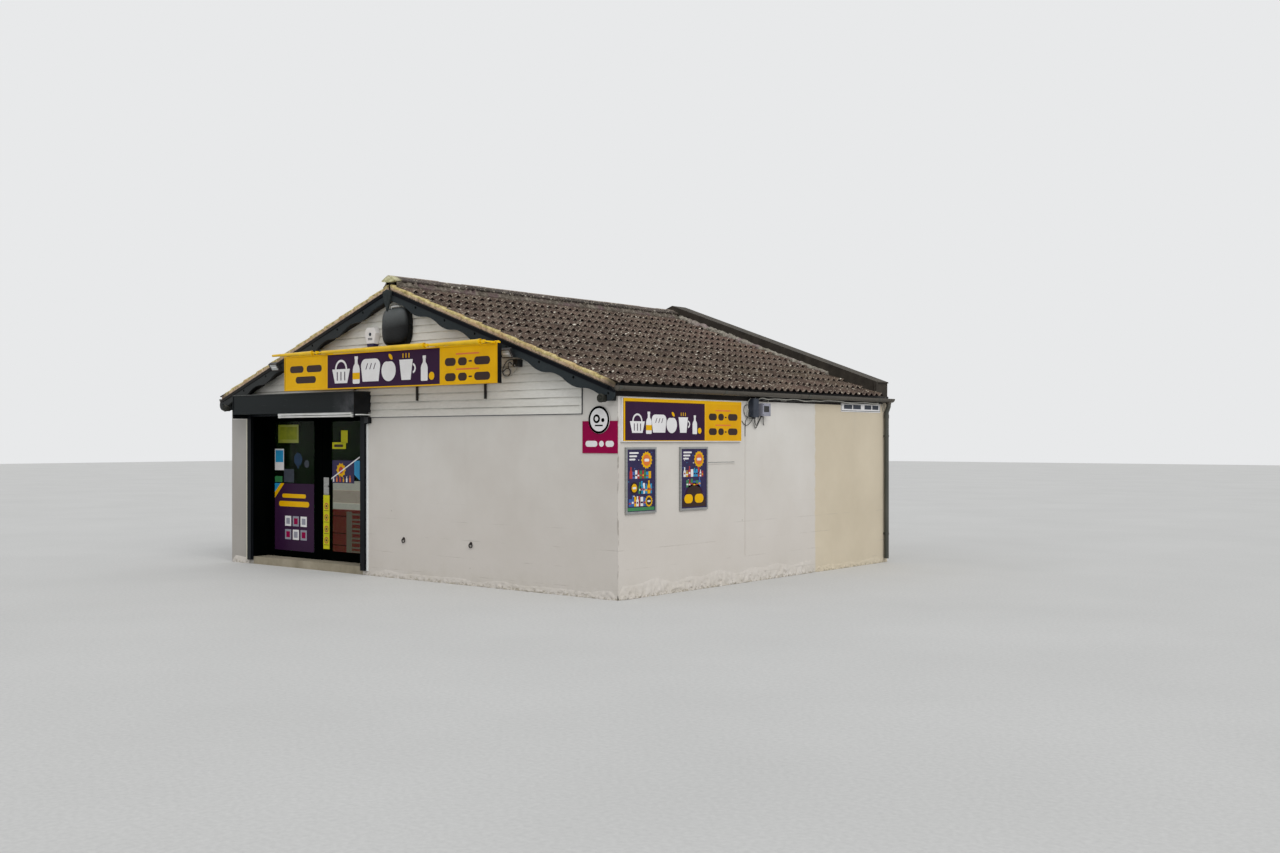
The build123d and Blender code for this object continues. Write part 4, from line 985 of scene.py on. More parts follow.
half = [(0.32 * aw, 0.5 * ah), (0.5 * aw, 0.2 * ah), (0.26 * aw, -0.5 * ah)]
shell = [(-u, v) for u, v in half] + half[::-1]
alarm = Build()
alarm.prism(clip(shell, lambda u, v: v + 0.33 * ah), on_alarm, 0, ALARM_DEEP, 0)
alarm.prism(clip(shell, lambda u, v: -0.335 * ah - v), on_alarm, 0, 0.078, 1)
alarm.prism(circle(0.0, 0.15 * ah, 0.026, 24), on_alarm, 0.078, 0.084, 2)
for v in (-0.06, -0.13):
    alarm.bar(-0.05, v * ah - 0.006, 0.05, v * ah + 0.006, on_alarm, 0.078, 0.0812, 2)
alarm.make("alarm_shell", ["alarm", "navy", "slate"], replaces=["alarm_box"], bevel=0.005)

# Trough light: three turned hoods on a rod, with saddles and screwed plates
TROUGH = (0.571, 3.034)
SADDLE = (
    (0.048, 3.026, 3.048, 0.335, 0.398),
    (0.03, 3.048, 3.058, 0.335, 0.36),
    (0.011, 3.026, 3.048, 0.398, 0.58),
    (0.014, 3.014, 3.056, 0.55, 0.592),
)


def on_rod(a, u, v):
    return (a, FRONT - TROUGH[0] - u, TROUGH[1] + v)


trough = Build()
for x0, x1, r0, r1 in (
    (-2.014, -1.10, 0.016, 0.030), (-0.902, 1.180, 0.022, 0.034), (1.268, 2.186, 0.020, 0.034)
):
    hood = [
        (x0, r0 * 0.6), (x0 + 0.002, r0 * 0.94), (x0 + 0.008, r0), (x1 - 0.034, r1), (x1 - 0.030, r1 + 0.003)
    ]
    hood += [(x1 - 0.004, r1 + 0.003), (x1, r1), (x1 - 0.012, r1 * 0.82), (x1 - 0.014, r1 * 0.3)]
    trough.turned(hood, on_rod, 32)
trough.turned([(-2.012, 0.009), (-2.010, 0.011), (2.286, 0.011), (2.29, 0.008)], on_rod, 16)
for x in (-1.001, 1.226, 2.238):
    for half, low, high, near, far in SADDLE:
        trough.bar(x - half, low, x + half, high, front, near, far)
    for dx in (-0.034, 0.034):
        trough.prism(circle(x + dx, 3.037, 0.006, 10), front, 0.398, 0.401, 1)
trough.make(
    "trough_hoods", ["trough", "slate"], replaces=["trough_light"], bevel=0.002, smooth=40
)

# Printed faces: plain generic shapes of a shop's goods, with no words
INK = 0.0012


def sized(shape, u, v, h):
    """A shape of unit height, placed by its foot."""
    return [(u + a * h, v + b * h) for a, b in shape]


HALF = (
    (0.17, 0), (0.2, 0.04), (0.2, 0.52), (0.16, 0.64), (0.08, 0.74), (0.075, 0.88), (0.095, 0.9), (0.095, 1)
)
BOTTLE = HALF + tuple((-a, b) for a, b in reversed(HALF))
CUP = ((-0.24, 0.06), (0.24, 0.06), (0.36, 0.78), (-0.36, 0.78))
BASKET = ((-0.36, 0.04), (0.36, 0.04), (0.52, 0.56), (-0.52, 0.56))
CUT = ((-0.06, 0.5), (-0.02, 0.5), (0.08, 0.72), (0.04, 0.72))


def loaf(u, v, h):
    w = 0.62 * h
    top = circle(u - w * 0.45, v + h * 0.62, w * 0.42, 10, 200, 90)
    top += circle(u + w * 0.45, v + h * 0.62, w * 0.42, 10, 90, -20)
    return [(u - w * 0.72, v + 0.06 * h)] + top + [(u + w * 0.72, v + 0.06 * h)]


def apple(u, v, h):
    shape = []
    for i in range(40):
        a = 2 * math.pi * i / 40
        r = 0.38 * h * (1 - 0.16 * math.exp(-((math.sin(a / 2 - math.pi / 4) / 0.22) ** 2)))
        shape.append((u + r * math.cos(a) * 1.02, v + 0.42 * h + r * math.sin(a)))
    return shape


def leaf(u, v, h):
    low = circle(u + 0.02 * h, v + 0.82 * h, 0.2 * h, 8, 0, 80)
    return low + circle(u + 0.2 * h, v + 1.0 * h, 0.2 * h, 8, 180, 260)


YELLOW, BACK, WHITE = 0, 1, 2


def goods_row(b, u0, u1, v, h, place, a):
    """Six plain goods in a row: basket, bottle, loaf, apple, cup and small bottle."""
    d = a + INK

    def put(outline, mat, depth=a):
        b.prism(outline, place, depth, depth + INK, mat)

    def strip(x, half, low, high, mat, depth=a):
        put(sized(((-half, low), (half, low), (half, high), (-half, high)), x, v, h), mat, depth)

    widths = [w * h for w in (1.04, 0.42, 0.9, 0.8, 0.98, 0.76)]
    gap = (u1 - u0 - sum(widths)) / 5
    at = [u0 + sum(widths[:i]) + gap * i + widths[i] / 2 for i in range(6)]
    put(sized(BASKET, at[0], v, h), WHITE)
    ring(b, at[0], v + 0.56 * h, 0.27 * h, 0.35 * h, place, a, d, WHITE, 20, 0, 180)
    for i in (-1, 0, 1):
        strip(at[0] + i * 0.22 * h, 0.025, 0.14, 0.46, BACK, d)
    put(sized(BOTTLE, at[1], v, h), WHITE)
    strip(at[1], 0.2, 0.16, 0.4, YELLOW, d)
    put(loaf(at[2], v, h), WHITE)
    for i in (-1, 0, 1):
        put(sized(CUT, at[2] + i * 0.22 * h, v, h), BACK, d)
    put(apple(at[3], v, h), WHITE)
    put(leaf(at[3], v, h), YELLOW)
    put(sized(CUP, at[4] - 0.1 * h, v, h), WHITE)
    ring(b, at[4] + 0.24 * h, v + 0.46 * h, 0.11 * h, 0.18 * h, place, a, d, WHITE, 16, -80, 80)
    for i in (-1, 0, 1):
        strip(at[4] - 0.1 * h + i * 0.16 * h, 0.022, 0.84, 1.0, YELLOW)
    put(sized(BOTTLE, at[5] - 0.16 * h, v, 0.88 * h), WHITE)
    put(circle(at[5] + 0.22 * h, v + 0.16 * h, 0.14 * h, 20), YELLOW)


def bars(b, rows, place, a, mat):
    """Rounded bars in rows: (left, right, low, high)."""
    for u0, u1, v0, v1 in rows:
        r = (v1 - v0) / 2
        outline = circle(u1 - r, v0 + r, r, 8, -90, 90) + circle(u0 + r, v0 + r, r, 8, 90, 270)
        b.prism(outline, place, a, a + INK, mat)


FACE = 0.393
sign = Build()
films = [(-1.966, 2.556, -1.009, 3.010, 0, 4), (-1.956, 2.566, -1.022, 3.000, 1, 0)]
films += [(-1.003, 2.556, 1.262, 3.010, 0, 1), (1.265, 2.556, 2.284, 3.010, 0, 4)]
films.append((1.274, 2.565, 2.275, 3.001, 1, 0))
sign.films(films, front, FACE, INK)
goods_row(sign, -0.90, 1.17, 2.605, 0.365, front, FACE + INK)
top_ink = FACE + 2 * INK
bars(sign, [(-1.85, -1.54, 2.79, 2.885), (-1.47, -1.13, 2.79, 2.885)], front, top_ink, 3)
bars(sign, [(-1.72, -1.26, 2.64, 2.735)], front, top_ink, 3)
for low in (2.775, 2.585):
    bars(sign, [(1.36, 1.56, low, low + 0.1), (1.60, 1.76, low, low + 0.1)], front, top_ink, 3)
    bars(sign, [(1.79, 1.85, low + 0.04, low + 0.06), (1.89, 2.17, low, low + 0.1)], front, top_ink, 3)
    bars(sign, [(1.56, 1.98, low + 0.135, low + 0.155)], front, top_ink, 5)
sign.make(
    "main_sign_print", ["yellow", "purple", "print_white", "ink", "pale_yellow", "orange"]
)

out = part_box("wall_sign")[1].x - WALL_X
wall_print = Build()
films = [
    (0.050, 1.840, 2.416, 2.342, 0, 0), (0.094, 1.848, 1.624, 2.296, 1, 1),
    (0.085, 1.848, 0.0935, 2.304, 1, 6),
]
films += [
    (0.0935, 2.2965, 1.624, 2.304, 1, 6), (0.050, 1.840, 0.056, 2.342, 1, 6),
    (0.056, 2.334, 2.416, 2.342, 2, 7),
]
films += [
    (1.628, 1.848, 1.640, 2.300, 2, 7), (2.408, 1.840, 2.416, 2.334, 2, 7), (1.628, 1.848, 2.406, 2.300, 1, 4)
]
wall_print.films(films, right, out, INK)
goods_row(wall_print, 0.17, 1.56, 1.925, 0.262, right, out + 2 * INK)
top_ink = out + 2 * INK
for low in (2.10, 1.915):
    bars(wall_print, [(1.71, 1.88, low, low + 0.085), (1.91, 2.03, low, low + 0.085)], right, top_ink, 3)
    bars(
        wall_print, [(2.05, 2.09, low + 0.03, low + 0.048), (2.12, 2.33, low, low + 0.085)], right, top_ink, 3
    )
    bars(wall_print, [(1.85, 2.18, low + 0.115, low + 0.132)], right, top_ink, 5)
wall_inks = ["yellow", "purple", "print_white", "ink", "deep_yellow", "orange", "sign_line", "pale_yellow"]
wall_print.make("wall_sign_print", wall_inks)


def star(u, v, r0, r1, n):
    out = []
    for i in range(2 * n):
        a = math.pi * i / n
        r = r1 if i % 2 else r0
        out.append((u + r * math.cos(a), v + r * math.sin(a)))
    return out


# Posters in the two frames: bursts, packs and bottles on a dark ground
POSTER_OUT = 0.017
POSTER_SHEET = 0.001
THIN = 0.0004
PRINT = 0.0006
POSTER_INKS = ["navy", "yellow", "orange", "print_white", "red", "green", "blue", "ink", "cyan", "purple"]
posters = Build()


def packs(b, rng, u0, u1, v, low, high, a):
    """A shelf-like row of small packs and bottles, each with a band round it."""
    u = u0
    while u < u1 - 0.03:
        w, h = rng.uniform(0.026, 0.05), rng.uniform(low, high)
        ink, band = rng.choice([3, 8, 6, 1, 4, 5]), rng.choice([1, 3, 4, 9])
        end = min(u + w, u1)
        if rng.random() < 0.5:
            b.prism(sized(BOTTLE, u + w / 2, v, h * 1.15), right, a, a + PRINT, ink)
        else:
            b.bar(u, v, end, v + h, right, a, a + PRINT, ink)
        b.bar(u + 0.004, v + 0.3 * h, end - 0.004, v + 0.5 * h, right, a + PRINT, a + PRINT + THIN, band)
        u += w + 0.006


def burst(b, u, v, r, a, rim, fill):
    b.prism(star(u, v, r, r * 0.84, 14), right, a, a + PRINT, rim)
    b.prism(circle(u, v, r * 0.66, 24), right, a + PRINT, a + 2 * PRINT, fill)
    bars(
        b, [(u - r * 0.42, u + r * 0.42, v - r * 0.16, v + r * 0.16)], right, a + 0.0010,
        3 if fill != 3 else 4,
    )


for left, seed in ((0.138, 3), (1.167, 8)):
    rng = random.Random(seed)
    a = POSTER_OUT
    posters.bar(left, 1.014, left + 0.515, 1.743, right, a, a + POSTER_SHEET, 0)
    a += POSTER_SHEET
    on = a + THIN
    for i in range(26):
        u, v, s = left + rng.uniform(0.02, 0.48), rng.uniform(1.1, 1.72), rng.uniform(0.004, 0.010)
        posters.prism(circle(u, v, s, 8), right, a, on, rng.choice([8, 9, 6, 3]))
    burst(posters, left + 0.36, 1.615, 0.105, on, 1, 2)
    for k in range(3):
        v = 1.69 - 0.038 * k
        bars(posters, [(left + 0.04, left + 0.21 - 0.03 * k, v, v + 0.02)], right, on, 3)
    packs(posters, rng, left + 0.05, left + 0.47, 1.40, 0.07, 0.12, on)
    if seed == 3:
        burst(posters, left + 0.13, 1.29, 0.075, a + 0.002, 7, 1)
        packs(posters, rng, left + 0.22, left + 0.49, 1.22, 0.09, 0.14, on)
        packs(posters, rng, left + 0.03, left + 0.34, 1.075, 0.08, 0.12, on)
        burst(posters, left + 0.40, 1.13, 0.07, a + 0.002, 1, 7)
        posters.bar(left + 0.01, 1.022, left + 0.505, 1.062, right, a, a + 0.0008, 5)
    else:
        packs(posters, rng, left + 0.10, left + 0.42, 1.27, 0.07, 0.11, on)
        posters.prism(circle(left + 0.258, 1.135, 0.19, 36, 0, 180), right, on, on + PRINT, 9)
        posters.prism(circle(left + 0.258, 1.13, 0.165, 36, 0, 180), right, a + 0.0010, a + 0.0016, 7)
        posters.bar(left + 0.02, 1.03, left + 0.495, 1.135, right, a + 0.0010, a + 0.0016, 7)
        lines = [(left + 0.06, left + 0.23, 1.075, 1.185), (left + 0.27, left + 0.45, 1.075, 1.185)]
        bars(posters, lines, right, a + 0.0016, 1)
posters.make("posters", POSTER_INKS)

# Round disc's dark ring, the plate's white bars, and the nameplate's border
disc_low, disc_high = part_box("round_disc")
details = Build()
du, dv, dr = (disc_low.x + disc_high.x) / 2, (disc_low.z + disc_high.z) / 2, (disc_high.x - disc_low.x) / 2
d_out = FRONT - disc_low.y
ring(details, du, dv, dr - 0.028, dr - 0.001, front, d_out, d_out + INK, 0, 56)
dots = ((-0.035, 0.012, 0.052, 28, 0), (-0.035, 0.012, 0.026, 20, 1), (0.062, -0.004, 0.024, 20, 0))
for u, v, r, n, layer in dots:
    details.prism(circle(du + u, dv + v, r, n), front, d_out + layer * INK, d_out + (layer + 1) * INK, layer)
details.bar(du - 0.06, dv - 0.075, du + 0.06, dv - 0.058, front, d_out, d_out + INK, 0)
plate_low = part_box("square_plate")[0]
p_out = FRONT - plate_low.y
for u0, u1 in ((0.05, 0.235), (0.262, 0.335), (0.362, 0.49)):
    bars(
        details, [(plate_low.x + u0, plate_low.x + u1, plate_low.z + 0.075, plate_low.z + 0.145)], front,
        p_out, 1,
    )
name_low, name_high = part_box("street_nameplate")
n0, n1 = name_low.y - FRONT + 0.012, name_high.y - FRONT - 0.012
w0, w1 = name_low.z + 0.012, name_high.z - 0.012
n_out = name_high.x - WALL_X
for box in (
    (n0, w0, n1, w0 + 0.007), (n0, w1 - 0.007, n1, w1), (n0, w0, n0 + 0.007, w1), (n1 - 0.007, w0, n1, w1)
):
    details.bar(*box, right, n_out, n_out + INK, 0)
for u0, u1 in ((0.07, 0.30), (0.33, 0.55), (0.66, 0.86), (0.89, 1.07)):
    details.bar(n0 + u0, w0 + 0.03, n0 + u1, w1 - 0.03, right, n_out, n_out + INK, 2)
details.make("plate_prints", ["frame", "print_white", "slate"])

# Vinyls and notices on the glass
GLASS_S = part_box("side_light_glass")[0].y - FRONT
DOOR_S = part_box("door_glass")[0].y - FRONT
on_glass, on_door = set_back(GLASS_S), set_back(DOOR_S)
F = 0.0006
vinyl = Build()
films = [
    (-3.188, 0.205, -2.226, 1.205, 0, 0), (-3.10, 1.81, -2.60, 2.08, 0, 6), (-3.06, 1.86, -2.64, 2.05, 1, 10)
]
films += [
    (-3.185, 1.40, -2.96, 1.72, 0, 3), (-3.17, 1.52, -2.975, 1.70, 1, 2), (-3.185, 1.22, -3.0, 1.31, 0, 7)
]
films += [(-2.96, 1.22, -2.71, 1.42, 0, 8), (-2.63, 1.43, -2.59, 1.48, 0, 9)]
for i in range(3):
    for j in range(2):
        u, v, even = -2.93 + 0.19 * i, 0.37 + 0.2 * j, (i + j) % 2 == 0
        films.append((u, v, u + 0.15, v + 0.15, 1, 5 if even else 3))
        films.append((u + 0.03, v + 0.03, u + 0.12, v + 0.12, 2, 4 if even else 5))
vinyl.films(films, on_glass, 0, F)
vinyl.prism([(-3.188, 1.205), (-3.188, 0.98), (-2.95, 1.205)], on_glass, F, 2 * F, 1)
vinyl.prism([(-3.188, 1.205), (-3.188, 1.07), (-3.04, 1.205)], on_glass, 2 * F, 3 * F, 2)
bars(vinyl, [(-3.0, -2.42, 0.99, 1.05), (-3.08, -2.34, 0.86, 0.94)], on_glass, F, 1)
vinyl.prism(circle(-2.61, 1.565, 0.105, 7), on_glass, 0, F, 9)
vinyl.prism(circle(-2.40, 1.50, 0.06, 9), on_glass, 0, F, 8)
film_inks = ["purple", "yellow", "cyan", "print_white", "pink", "lilac", "lime", "green", "slate"]
film_inks += ["dim_blue", "lemon_dim"]
vinyl.make("side_light_vinyls", film_inks)

door_print = Build()
on_leaf = set_back(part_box("door_leaf")[0].y - FRONT)
films = [(-1.985, 0.275, -1.842, 1.055, 0, 7)]
for i in range(4):
    v = 0.165 * i
    ring(door_print, -1.913, 0.40 + v, 0.032, 0.047, on_leaf, F, 2 * F, 5, 24)
    films += [(-1.93, 0.385 + v, -1.896, 0.415 + v, 1, 3), (-1.97, 0.33 + v, -1.857, 0.338 + v, 1, 3)]
door_print.films(films, on_leaf, 0, F)
films = [
    (-1.60, 1.81, -1.45, 1.99, 0, 7), (-1.80, 1.725, -1.49, 1.82, 0, 7), (-1.80, 1.235, -1.30, 1.56, 0, 1)
]
door_print.films(films, on_door, 0, F)
bars(door_print, [(-1.76, -1.55, 1.75, 1.79)], on_door, F, 3)
door_print.prism(star(-1.60, 1.42, 0.11, 0.085, 10), on_door, F, 2 * F, 0)
door_print.prism(circle(-1.60, 1.42, 0.05, 20), on_door, 2 * F, 3 * F, 5)
for i in range(6):
    u = -1.77 + 0.075 * i
    low = sized(BOTTLE, u, 1.25, 0.07 + 0.012 * (i % 3))
    door_print.prism(low, on_door, F, 2 * F, (4, 2, 5, 0, 4, 2)[i])
door_print.prism([(-1.30, 1.56), (-1.178, 1.56), (-1.178, 1.28), (-1.30, 1.36)], on_door, 0, F, 6)
door_print.prism([(-1.86, 1.285), (-1.86, 1.265), (-1.178, 1.60), (-1.178, 1.62)], on_door, 3 * F, 4 * F, 4)
door_inks = ["yellow", "navy", "orange", "ink", "print_white", "red", "cyan", "lemon"]
door_print.make("door_vinyls", door_inks, body="door")

# The low cabinet that shows dimly behind the door glass, clear of the door's swing; it glows faintly with
# painted light
unit = Build()
floor_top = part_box("floor_slab")[1].z
UNIT = (-2.66, -1.9, 0.9, 1.4)
on_unit = set_back(UNIT[2])
shelves = ((floor_top, 0.80, 0.0, 2), (0.81, 0.90, 0.0, 0), (0.905, 1.095, -0.012, 1), (1.10, 1.215, 0.0, 0))
for v0, v1, d, mat in shelves:
    unit.bar(UNIT[0], v0, UNIT[1], v1, on_unit, UNIT[2] - UNIT[3], d, mat)
unit.bar(-2.24, floor_top + 0.02, -2.12, 0.78, on_unit, 0.0, 0.012, 4)
for v in (0.17, 0.23, 0.31, 0.37, 0.45, 0.51, 0.59, 0.65, 0.73):
    unit.bar(-2.11, v, UNIT[1], v + 0.026, on_unit, 0.0, 0.008, 4)
for v in (0.26, 0.44, 0.70):
    unit.bar(UNIT[0], v, -2.25, v + 0.012, on_unit, 0.0, 0.006, 3)
unit.make(
    "shop_cabinet", ["unit_pale", "unit_grey", "unit_red", "frame", "unit_dull"], bevel=0.004
)

# Floodlight glasses
TILT = math.radians(35)
LAMP_AT = (0.232, 2.912)
LAMP_FACE = 0.0205
normal = Vector((0, -math.cos(TILT), -math.sin(TILT)))
up = Vector((0, -math.sin(TILT), math.cos(TILT)))
lens = Build()
for x in (-2.44, 2.29):
    centre = Vector((x, FRONT - LAMP_AT[0], LAMP_AT[1])) + normal * LAMP_FACE

    def on_lamp(u, v, d):
        return tuple(centre + Vector((u, 0, 0)) + up * v + normal * d)

    lens.bar(-0.078, -0.046, 0.078, 0.046, on_lamp, 0, 0.002, 0)
    lens.bar(-0.05, -0.012, 0.05, 0.012, on_lamp, 0.002, 0.003, 1)
    for u0, v0, u1, v1 in ((-0.09, 0.046, 0.09, 0.058), (-0.09, -0.058, 0.09, -0.046)):
        lens.bar(u0, v0, u1, v1, on_lamp, -0.002, 0.005, 2)
    for u in (-0.09, 0.078):
        lens.bar(u, -0.046, u + 0.012, 0.046, on_lamp, -0.002, 0.005, 2)
lens.make("floodlight_glass", ["lens", "print_white", "ink"], bevel=0.0008)


# Fixed wiring under the gutter and around the boxes
def eave_wire(name, seed, key, radius, out, high, swing):
    """A strand slung under the gutter from the cable box to the far corner."""
    rng = random.Random(seed)
    points = [right(2.70, 2.36, 0.03), right(2.74, high - 0.02, out * 0.7)]
    s = 2.86
    while s < 6.12:
        points.append(right(s, high + rng.uniform(-1, 1) * swing, out + rng.uniform(-0.006, 0.006)))
        s += rng.uniform(0.10, 0.22)
    wire(name, points, radius, key)


EAVE_WIRES = (
    ("wire", 0.009, 0.050, 2.402, 0.010),
    ("wire_pale", 0.007, 0.062, 2.398, 0.014),
    ("wire", 0.006, 0.040, 2.388, 0.014),
    ("wire_pale", 0.005, 0.034, 2.392, 0.018),
)
for i, strand in enumerate(EAVE_WIRES):
    eave_wire("eave_wire_" + "abcd"[i], i + 1, *strand)


def wall_wire(name, places, radius, key):
    """A wire on the right wall through points of (back, up, out)."""
    wire(name, [right(*spot) for spot in places], radius, key)


TANGLE = [
    ((2.64, 2.40, 0.03), (2.58, 2.36, 0.02), (2.55, 2.25, 0.01), (2.60, 2.12, 0.02), (2.66, 2.15, 0.05)),
    ((2.67, 2.15, 0.05), (2.62, 2.05, 0.02), (2.52, 2.04, 0.01), (2.47, 2.10, 0.006)),
    ((2.70, 2.15, 0.05), (2.74, 2.04, 0.03), (2.80, 2.05, 0.02), (2.86, 2.17, 0.04)),
    ((2.72, 2.41, 0.05), (2.77, 2.34, 0.03), (2.77, 2.22, 0.02), (2.73, 2.11, 0.02), (2.69, 2.16, 0.05)),
    ((2.90, 2.17, 0.05), (2.93, 2.08, 0.02), (2.98, 2.05, 0.004)),
    ((2.62, 2.20, 0.04), (2.55, 2.14, 0.015), (2.54, 2.02, 0.006), (2.545, 1.90, 0.004)),
    ((2.66, 2.15, 0.04), (2.60, 2.08, 0.03), (2.57, 2.16, 0.02), (2.61, 2.26, 0.012)),
    ((2.71, 2.15, 0.05), (2.70, 2.06, 0.03), (2.77, 1.99, 0.012), (2.84, 2.07, 0.01), (2.87, 2.17, 0.04)),
    ((2.61, 2.30, 0.03), (2.52, 2.33, 0.02), (2.50, 2.22, 0.01), (2.56, 2.13, 0.02), (2.65, 2.14, 0.04)),
    ((2.98, 2.30, 0.04), (3.03, 2.34, 0.02), (3.06, 2.39, 0.03)),
]
for i, places in enumerate(TANGLE):
    wall_wire("box_wire_%d" % i, places, 0.0045, "wire" if i % 3 else "wire_pale")
places = [(5.9, 2.42, 0.04), (6.10, 2.41, 0.03), (6.17, 2.36, 0.01), (6.17, 2.28, 0.006)]
wall_wire("plate_wire", places, 0.005, "wire_pale")


def front_wire(name, places, *rest):
    """A wire on the street front through points of (across, out, up)."""
    wire(name, [front(x, z, d) for x, d, z in places], *rest)


LOOP = [(2.31, 0.12, 2.80), (2.22, 0.03, 2.85), (2.09, 0.03, 2.84), (2.02, 0.03, 2.75), (2.01, 0.03, 2.69)]
LOOP += [(2.05, 0.03, 2.64), (2.12, 0.03, 2.64), (2.155, 0.03, 2.69), (2.13, 0.03, 2.735), (2.07, 0.03, 2.74)]
front_wire("sensor_wire_0", LOOP + [(2.02, 0.03, 2.70)], 0.006, "wire")
LOOP = [(2.31, 0.12, 2.77), (2.28, 0.05, 2.73), (2.21, 0.03, 2.68), (2.11, 0.03, 2.625), (2.02, 0.03, 2.645)]
front_wire("sensor_wire_1", LOOP + [(1.985, 0.03, 2.72)], 0.007, "wire_pale")
LOOP = [(2.32, 0.12, 2.78), (2.25, 0.03, 2.74), (2.19, 0.03, 2.77), (2.14, 0.03, 2.82), (2.10, 0.03, 2.80)]
front_wire("sensor_wire_2", LOOP + [(2.12, 0.03, 2.73)], 0.004, "wire")
lead = [(-0.635, 0.27, 2.200), (-0.585, 0.277, 2.196), (-0.552, 0.268, 2.196), (-0.550, 0.14, 2.198)]
front_wire("tube_lead", lead + [(-0.550, 0.012, 2.196)], 0.008, "bright_trim", "white_plastic")

# Cable box and meter box, with lids, screws and glands
fittings = Build()


def small_box(u0, v0, u1, v1, deep, mat):
    fittings.bar(u0 + 0.004, v0 + 0.004, u1 - 0.004, v1 - 0.004, right, 0, deep * 0.6, mat)
    fittings.bar(u0, v0, u1, v1, right, deep * 0.62, deep, mat)
    for u in (u0 + 0.016, u1 - 0.016):
        for v in (v0 + 0.016, v1 - 0.016):
            fittings.prism(circle(u, v, 0.006, 10), right, deep, deep + 0.002, 2)


small_box(2.616, 2.148, 2.741, 2.394, 0.088, 0)
small_box(2.80, 2.168, 2.986, 2.335, 0.108, 1)
for u0, v0, u1, v1, near, far in (
    (2.64, 2.13, 2.665, 2.152, 0.03, 0.055),
    (2.69, 2.13, 2.715, 2.152, 0.03, 0.055),
    (2.855, 2.152, 2.88, 2.172, 0.03, 0.055),
    (2.83, 2.22, 2.95, 2.30, 0.108, 0.1095),
):
    fittings.bar(u0, v0, u1, v1, right, near, far, 2)
fittings.make(
    "wall_box_covers", ["slate", "lilac", "wire"], replaces=["wall_boxes"], bevel=0.004
)

# Gutter unions and end stop
GUTTER_AT = (WALL_X + 0.081, 2.475)
unions = Build()
for side in (-1, 1):

    def on_gutter(u, v, d):
        return (side * (GUTTER_AT[0] + u), FRONT + d, GUTTER_AT[1] + v)

    for s in (-0.127, 1.93, 3.90, 5.85):
        ring(unions, 0, 0, 0.0565, 0.0585, on_gutter, s, s + 0.05, 0, 20, 180, 360)
        ring(unions, 0, 0, 0.050, 0.0565, on_gutter, s + 0.018, s + 0.032, 0, 20, 180, 360)
unions.make("gutter_unions", ["pipe"], smooth=40)

# Trim strips beside the shutter guides, and old marks in the plaster of the right wall
trims = Build()
trims.bar(-3.432, 0.06, -3.402, 2.168, front, 0.0, 0.045)
trims.bar(-0.646, 0.06, -0.618, 2.07, front, 0.0, 0.02, 1)
trims.bar(-0.648, 2.08, -0.556, 2.168, front, 0.0, 0.06, 2)
trims.make("guide_trims", ["trim", "bright_trim", "shutter"], bevel=0.002)

WAVES = 40


def wavy(u0, u1, v, high, rough, seed):
    """A long thin outline with a wandering upper edge."""
    low = [(u0 + (u1 - u0) * i / WAVES, v) for i in range(WAVES + 1)]
    top = [(u, v + high + rough * wander(u * 13, seed, 0)) for u, _ in reversed(low)]
    return low + top


marks = Build()
marks.prism(wavy(1.716, 2.31, 1.552, 0.014, 0.005, 1.0), right, 0.0, 0.008, 3)
marks.prism(wavy(1.716, 2.31, 1.566, 0.008, 0.005, 1.0), right, 0.0, 0.0015, 1)
marks.bar(2.545, 0.35, 2.554, 2.26, right, 0.0, 0.006, 0)
marks.bar(2.5535, 0.35, 2.5575, 2.26, right, 0.0, 0.002, 1)
SKIRT_STEP = 0.014


def skirt(u0, u1, place, high, deep, seed, mat=0):
    """Lumpy render along the foot of a wall, running out to nothing above."""
    rows, n = [], max(8, round((u1 - u0) / SKIRT_STEP))
    for k in range(n + 1):
        u = u0 + (u1 - u0) * k / n
        fade = min(1.0, k / 6, (n - k) / 6)
        wave = 0.5 + 0.5 * wander(u * 2.3, seed, 0)
        row = [(-0.01, 0.0)]
        top = high * (0.45 + 0.9 * wave) * (0.3 + 0.7 * fade)
        for j in range(8):
            v = top * j / 7
            lump = wander(u * 17, v * 26, seed) + 0.6 * wander(u * 43, v * 47, seed)
            out = deep * (1 - j / 7) ** 0.6 * (0.65 + 0.5 * wave + 1.15 * lump) * fade - 0.0008
            row.append((max(out, -0.0008), v))
        row.append((-0.01, top))
        rows.append([place(u, v, d) for d, v in row])
    marks.loft(rows, mat)


for x in (-PLATE[1], PLATE[0]):
    marks.bar(x, PLATE[2] - 0.002, x + PLATE[1] - PLATE[0], 2.3055, front, -0.0195, 0.0)
skirt(0.0, 4.22, right, 0.19, 0.026, 2.0)
skirt(4.26, 6.14, right, 0.09, 0.014, 5.0, 3)
skirt(-0.56, 3.87, front, 0.085, 0.014, 8.0)
skirt(-3.86, -3.42, front, 0.10, 0.016, 11.0)
marks.make("plaster_marks", ["render", "grey", "bright_trim", "render_side"], smooth=50)

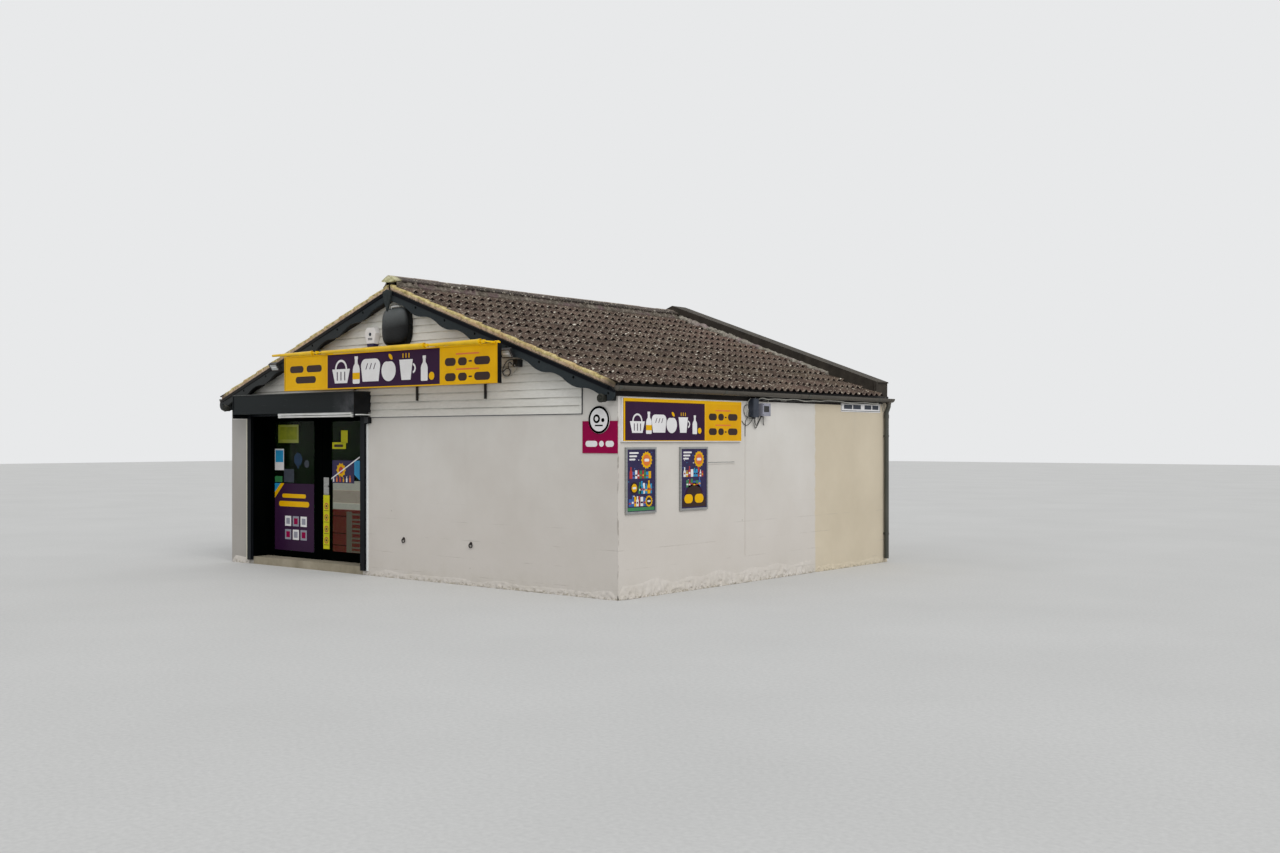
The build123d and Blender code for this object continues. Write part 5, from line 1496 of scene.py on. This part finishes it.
# Sheet folded down the ends of the upstand, and cement along the foot of the flashing
LAP_STEPS = 149
laps = Build()
for side in (-1, 1):

    def on_end(u, v, d):
        return (side * (WALL_X + d), FRONT + u, v)

    top = tile_z(WALL_X) + 0.128
    outline = [(5.925, top), (5.93, top - 0.19), (6.0, top - 0.22), (6.16, top - 0.212)]
    outline += [(6.315, top - 0.22), (6.318, top)]
    laps.prism(outline, on_end, -0.002, 0.006)
    rows = []
    for k in range(LAP_STEPS + 1):
        x = 0.16 + 2.9 * k / LAP_STEPS
        n = wander(x * 11, side * 2.0, 9)
        m = wander(x * 29, side * 4.0, 9)
        reach = max(0.003, (0.045 + 0.06 * n + 0.03 * m) * (1.0 if x < 1.6 else 0.45))
        z = tile_z(x)
        line = [(5.97, z - 0.04), (5.948 - reach, z - 0.04), (5.946 - reach, z + 0.006)]
        line += [(5.95 - reach * 0.6, z + 0.014 + 0.2 * reach), (5.949, z + 0.018 + 0.5 * reach)]
        line.append((5.97, z + 0.018 + 0.5 * reach))
        rows.append([(side * x, FRONT + s, h) for s, h in line])
    laps.loft(rows, 1)
laps.make("flashing_laps", ["flashing", "cement"], smooth=50)

# Floor, light and world
floor_mesh = bpy.data.meshes.new("floor")
SIZE = 90
corners = [(x * SIZE, y * SIZE, -0.001) for x, y in ((-1, -1), (1, -1), (1, 1), (-1, 1))]
floor_mesh.from_pydata(corners, [], [(0, 1, 2, 3)])
floor = stand("floor", floor_mesh)
floor_mesh.materials.append(coat("floor_pale", (206, 205, 202), (200, 199, 196), (0.85, 0.9), 0.4, 30, 0.0))


def sun(name, strength, angle, turn):
    data = bpy.data.lights.new(name, "SUN")
    data.energy = strength
    data.angle = math.radians(angle)
    stand(name, data).rotation_euler = [math.radians(t) for t in turn]


sun("key", 1.6, 45, (53, 0, 66))
sun("fill", 0.35, 80, (62, 0, -30))

world = bpy.data.worlds.new("world")
bpy.context.scene.world = world
world.use_nodes = True
tree = world.node_tree
light = tree.nodes["Background"]
light.inputs["Color"].default_value = (0.93, 0.96, 1.0, 1)
light.inputs["Strength"].default_value = 0.62
seen = tree.nodes.new("ShaderNodeBackground")
seen.inputs["Color"].default_value = lin((232, 233, 234))
seen.inputs["Strength"].default_value = 1.0
path = tree.nodes.new("ShaderNodeLightPath")
share = path.outputs["Is Camera Ray"]
for ray in ("Is Glossy Ray", "Is Transmission Ray"):
    either = tree.nodes.new("ShaderNodeMath")
    either.operation = "MAXIMUM"
    tree.links.new(share, either.inputs[0])
    tree.links.new(path.outputs[ray], either.inputs[1])
    share = either.outputs[0]
choose = tree.nodes.new("ShaderNodeMixShader")
for socket, place in zip((share, light.outputs[0], seen.outputs[0]), choose.inputs):
    tree.links.new(socket, place)
tree.links.new(choose.outputs[0], tree.nodes["World Output"].inputs["Surface"])
bpy.context.scene.view_settings.view_transform = "Standard"
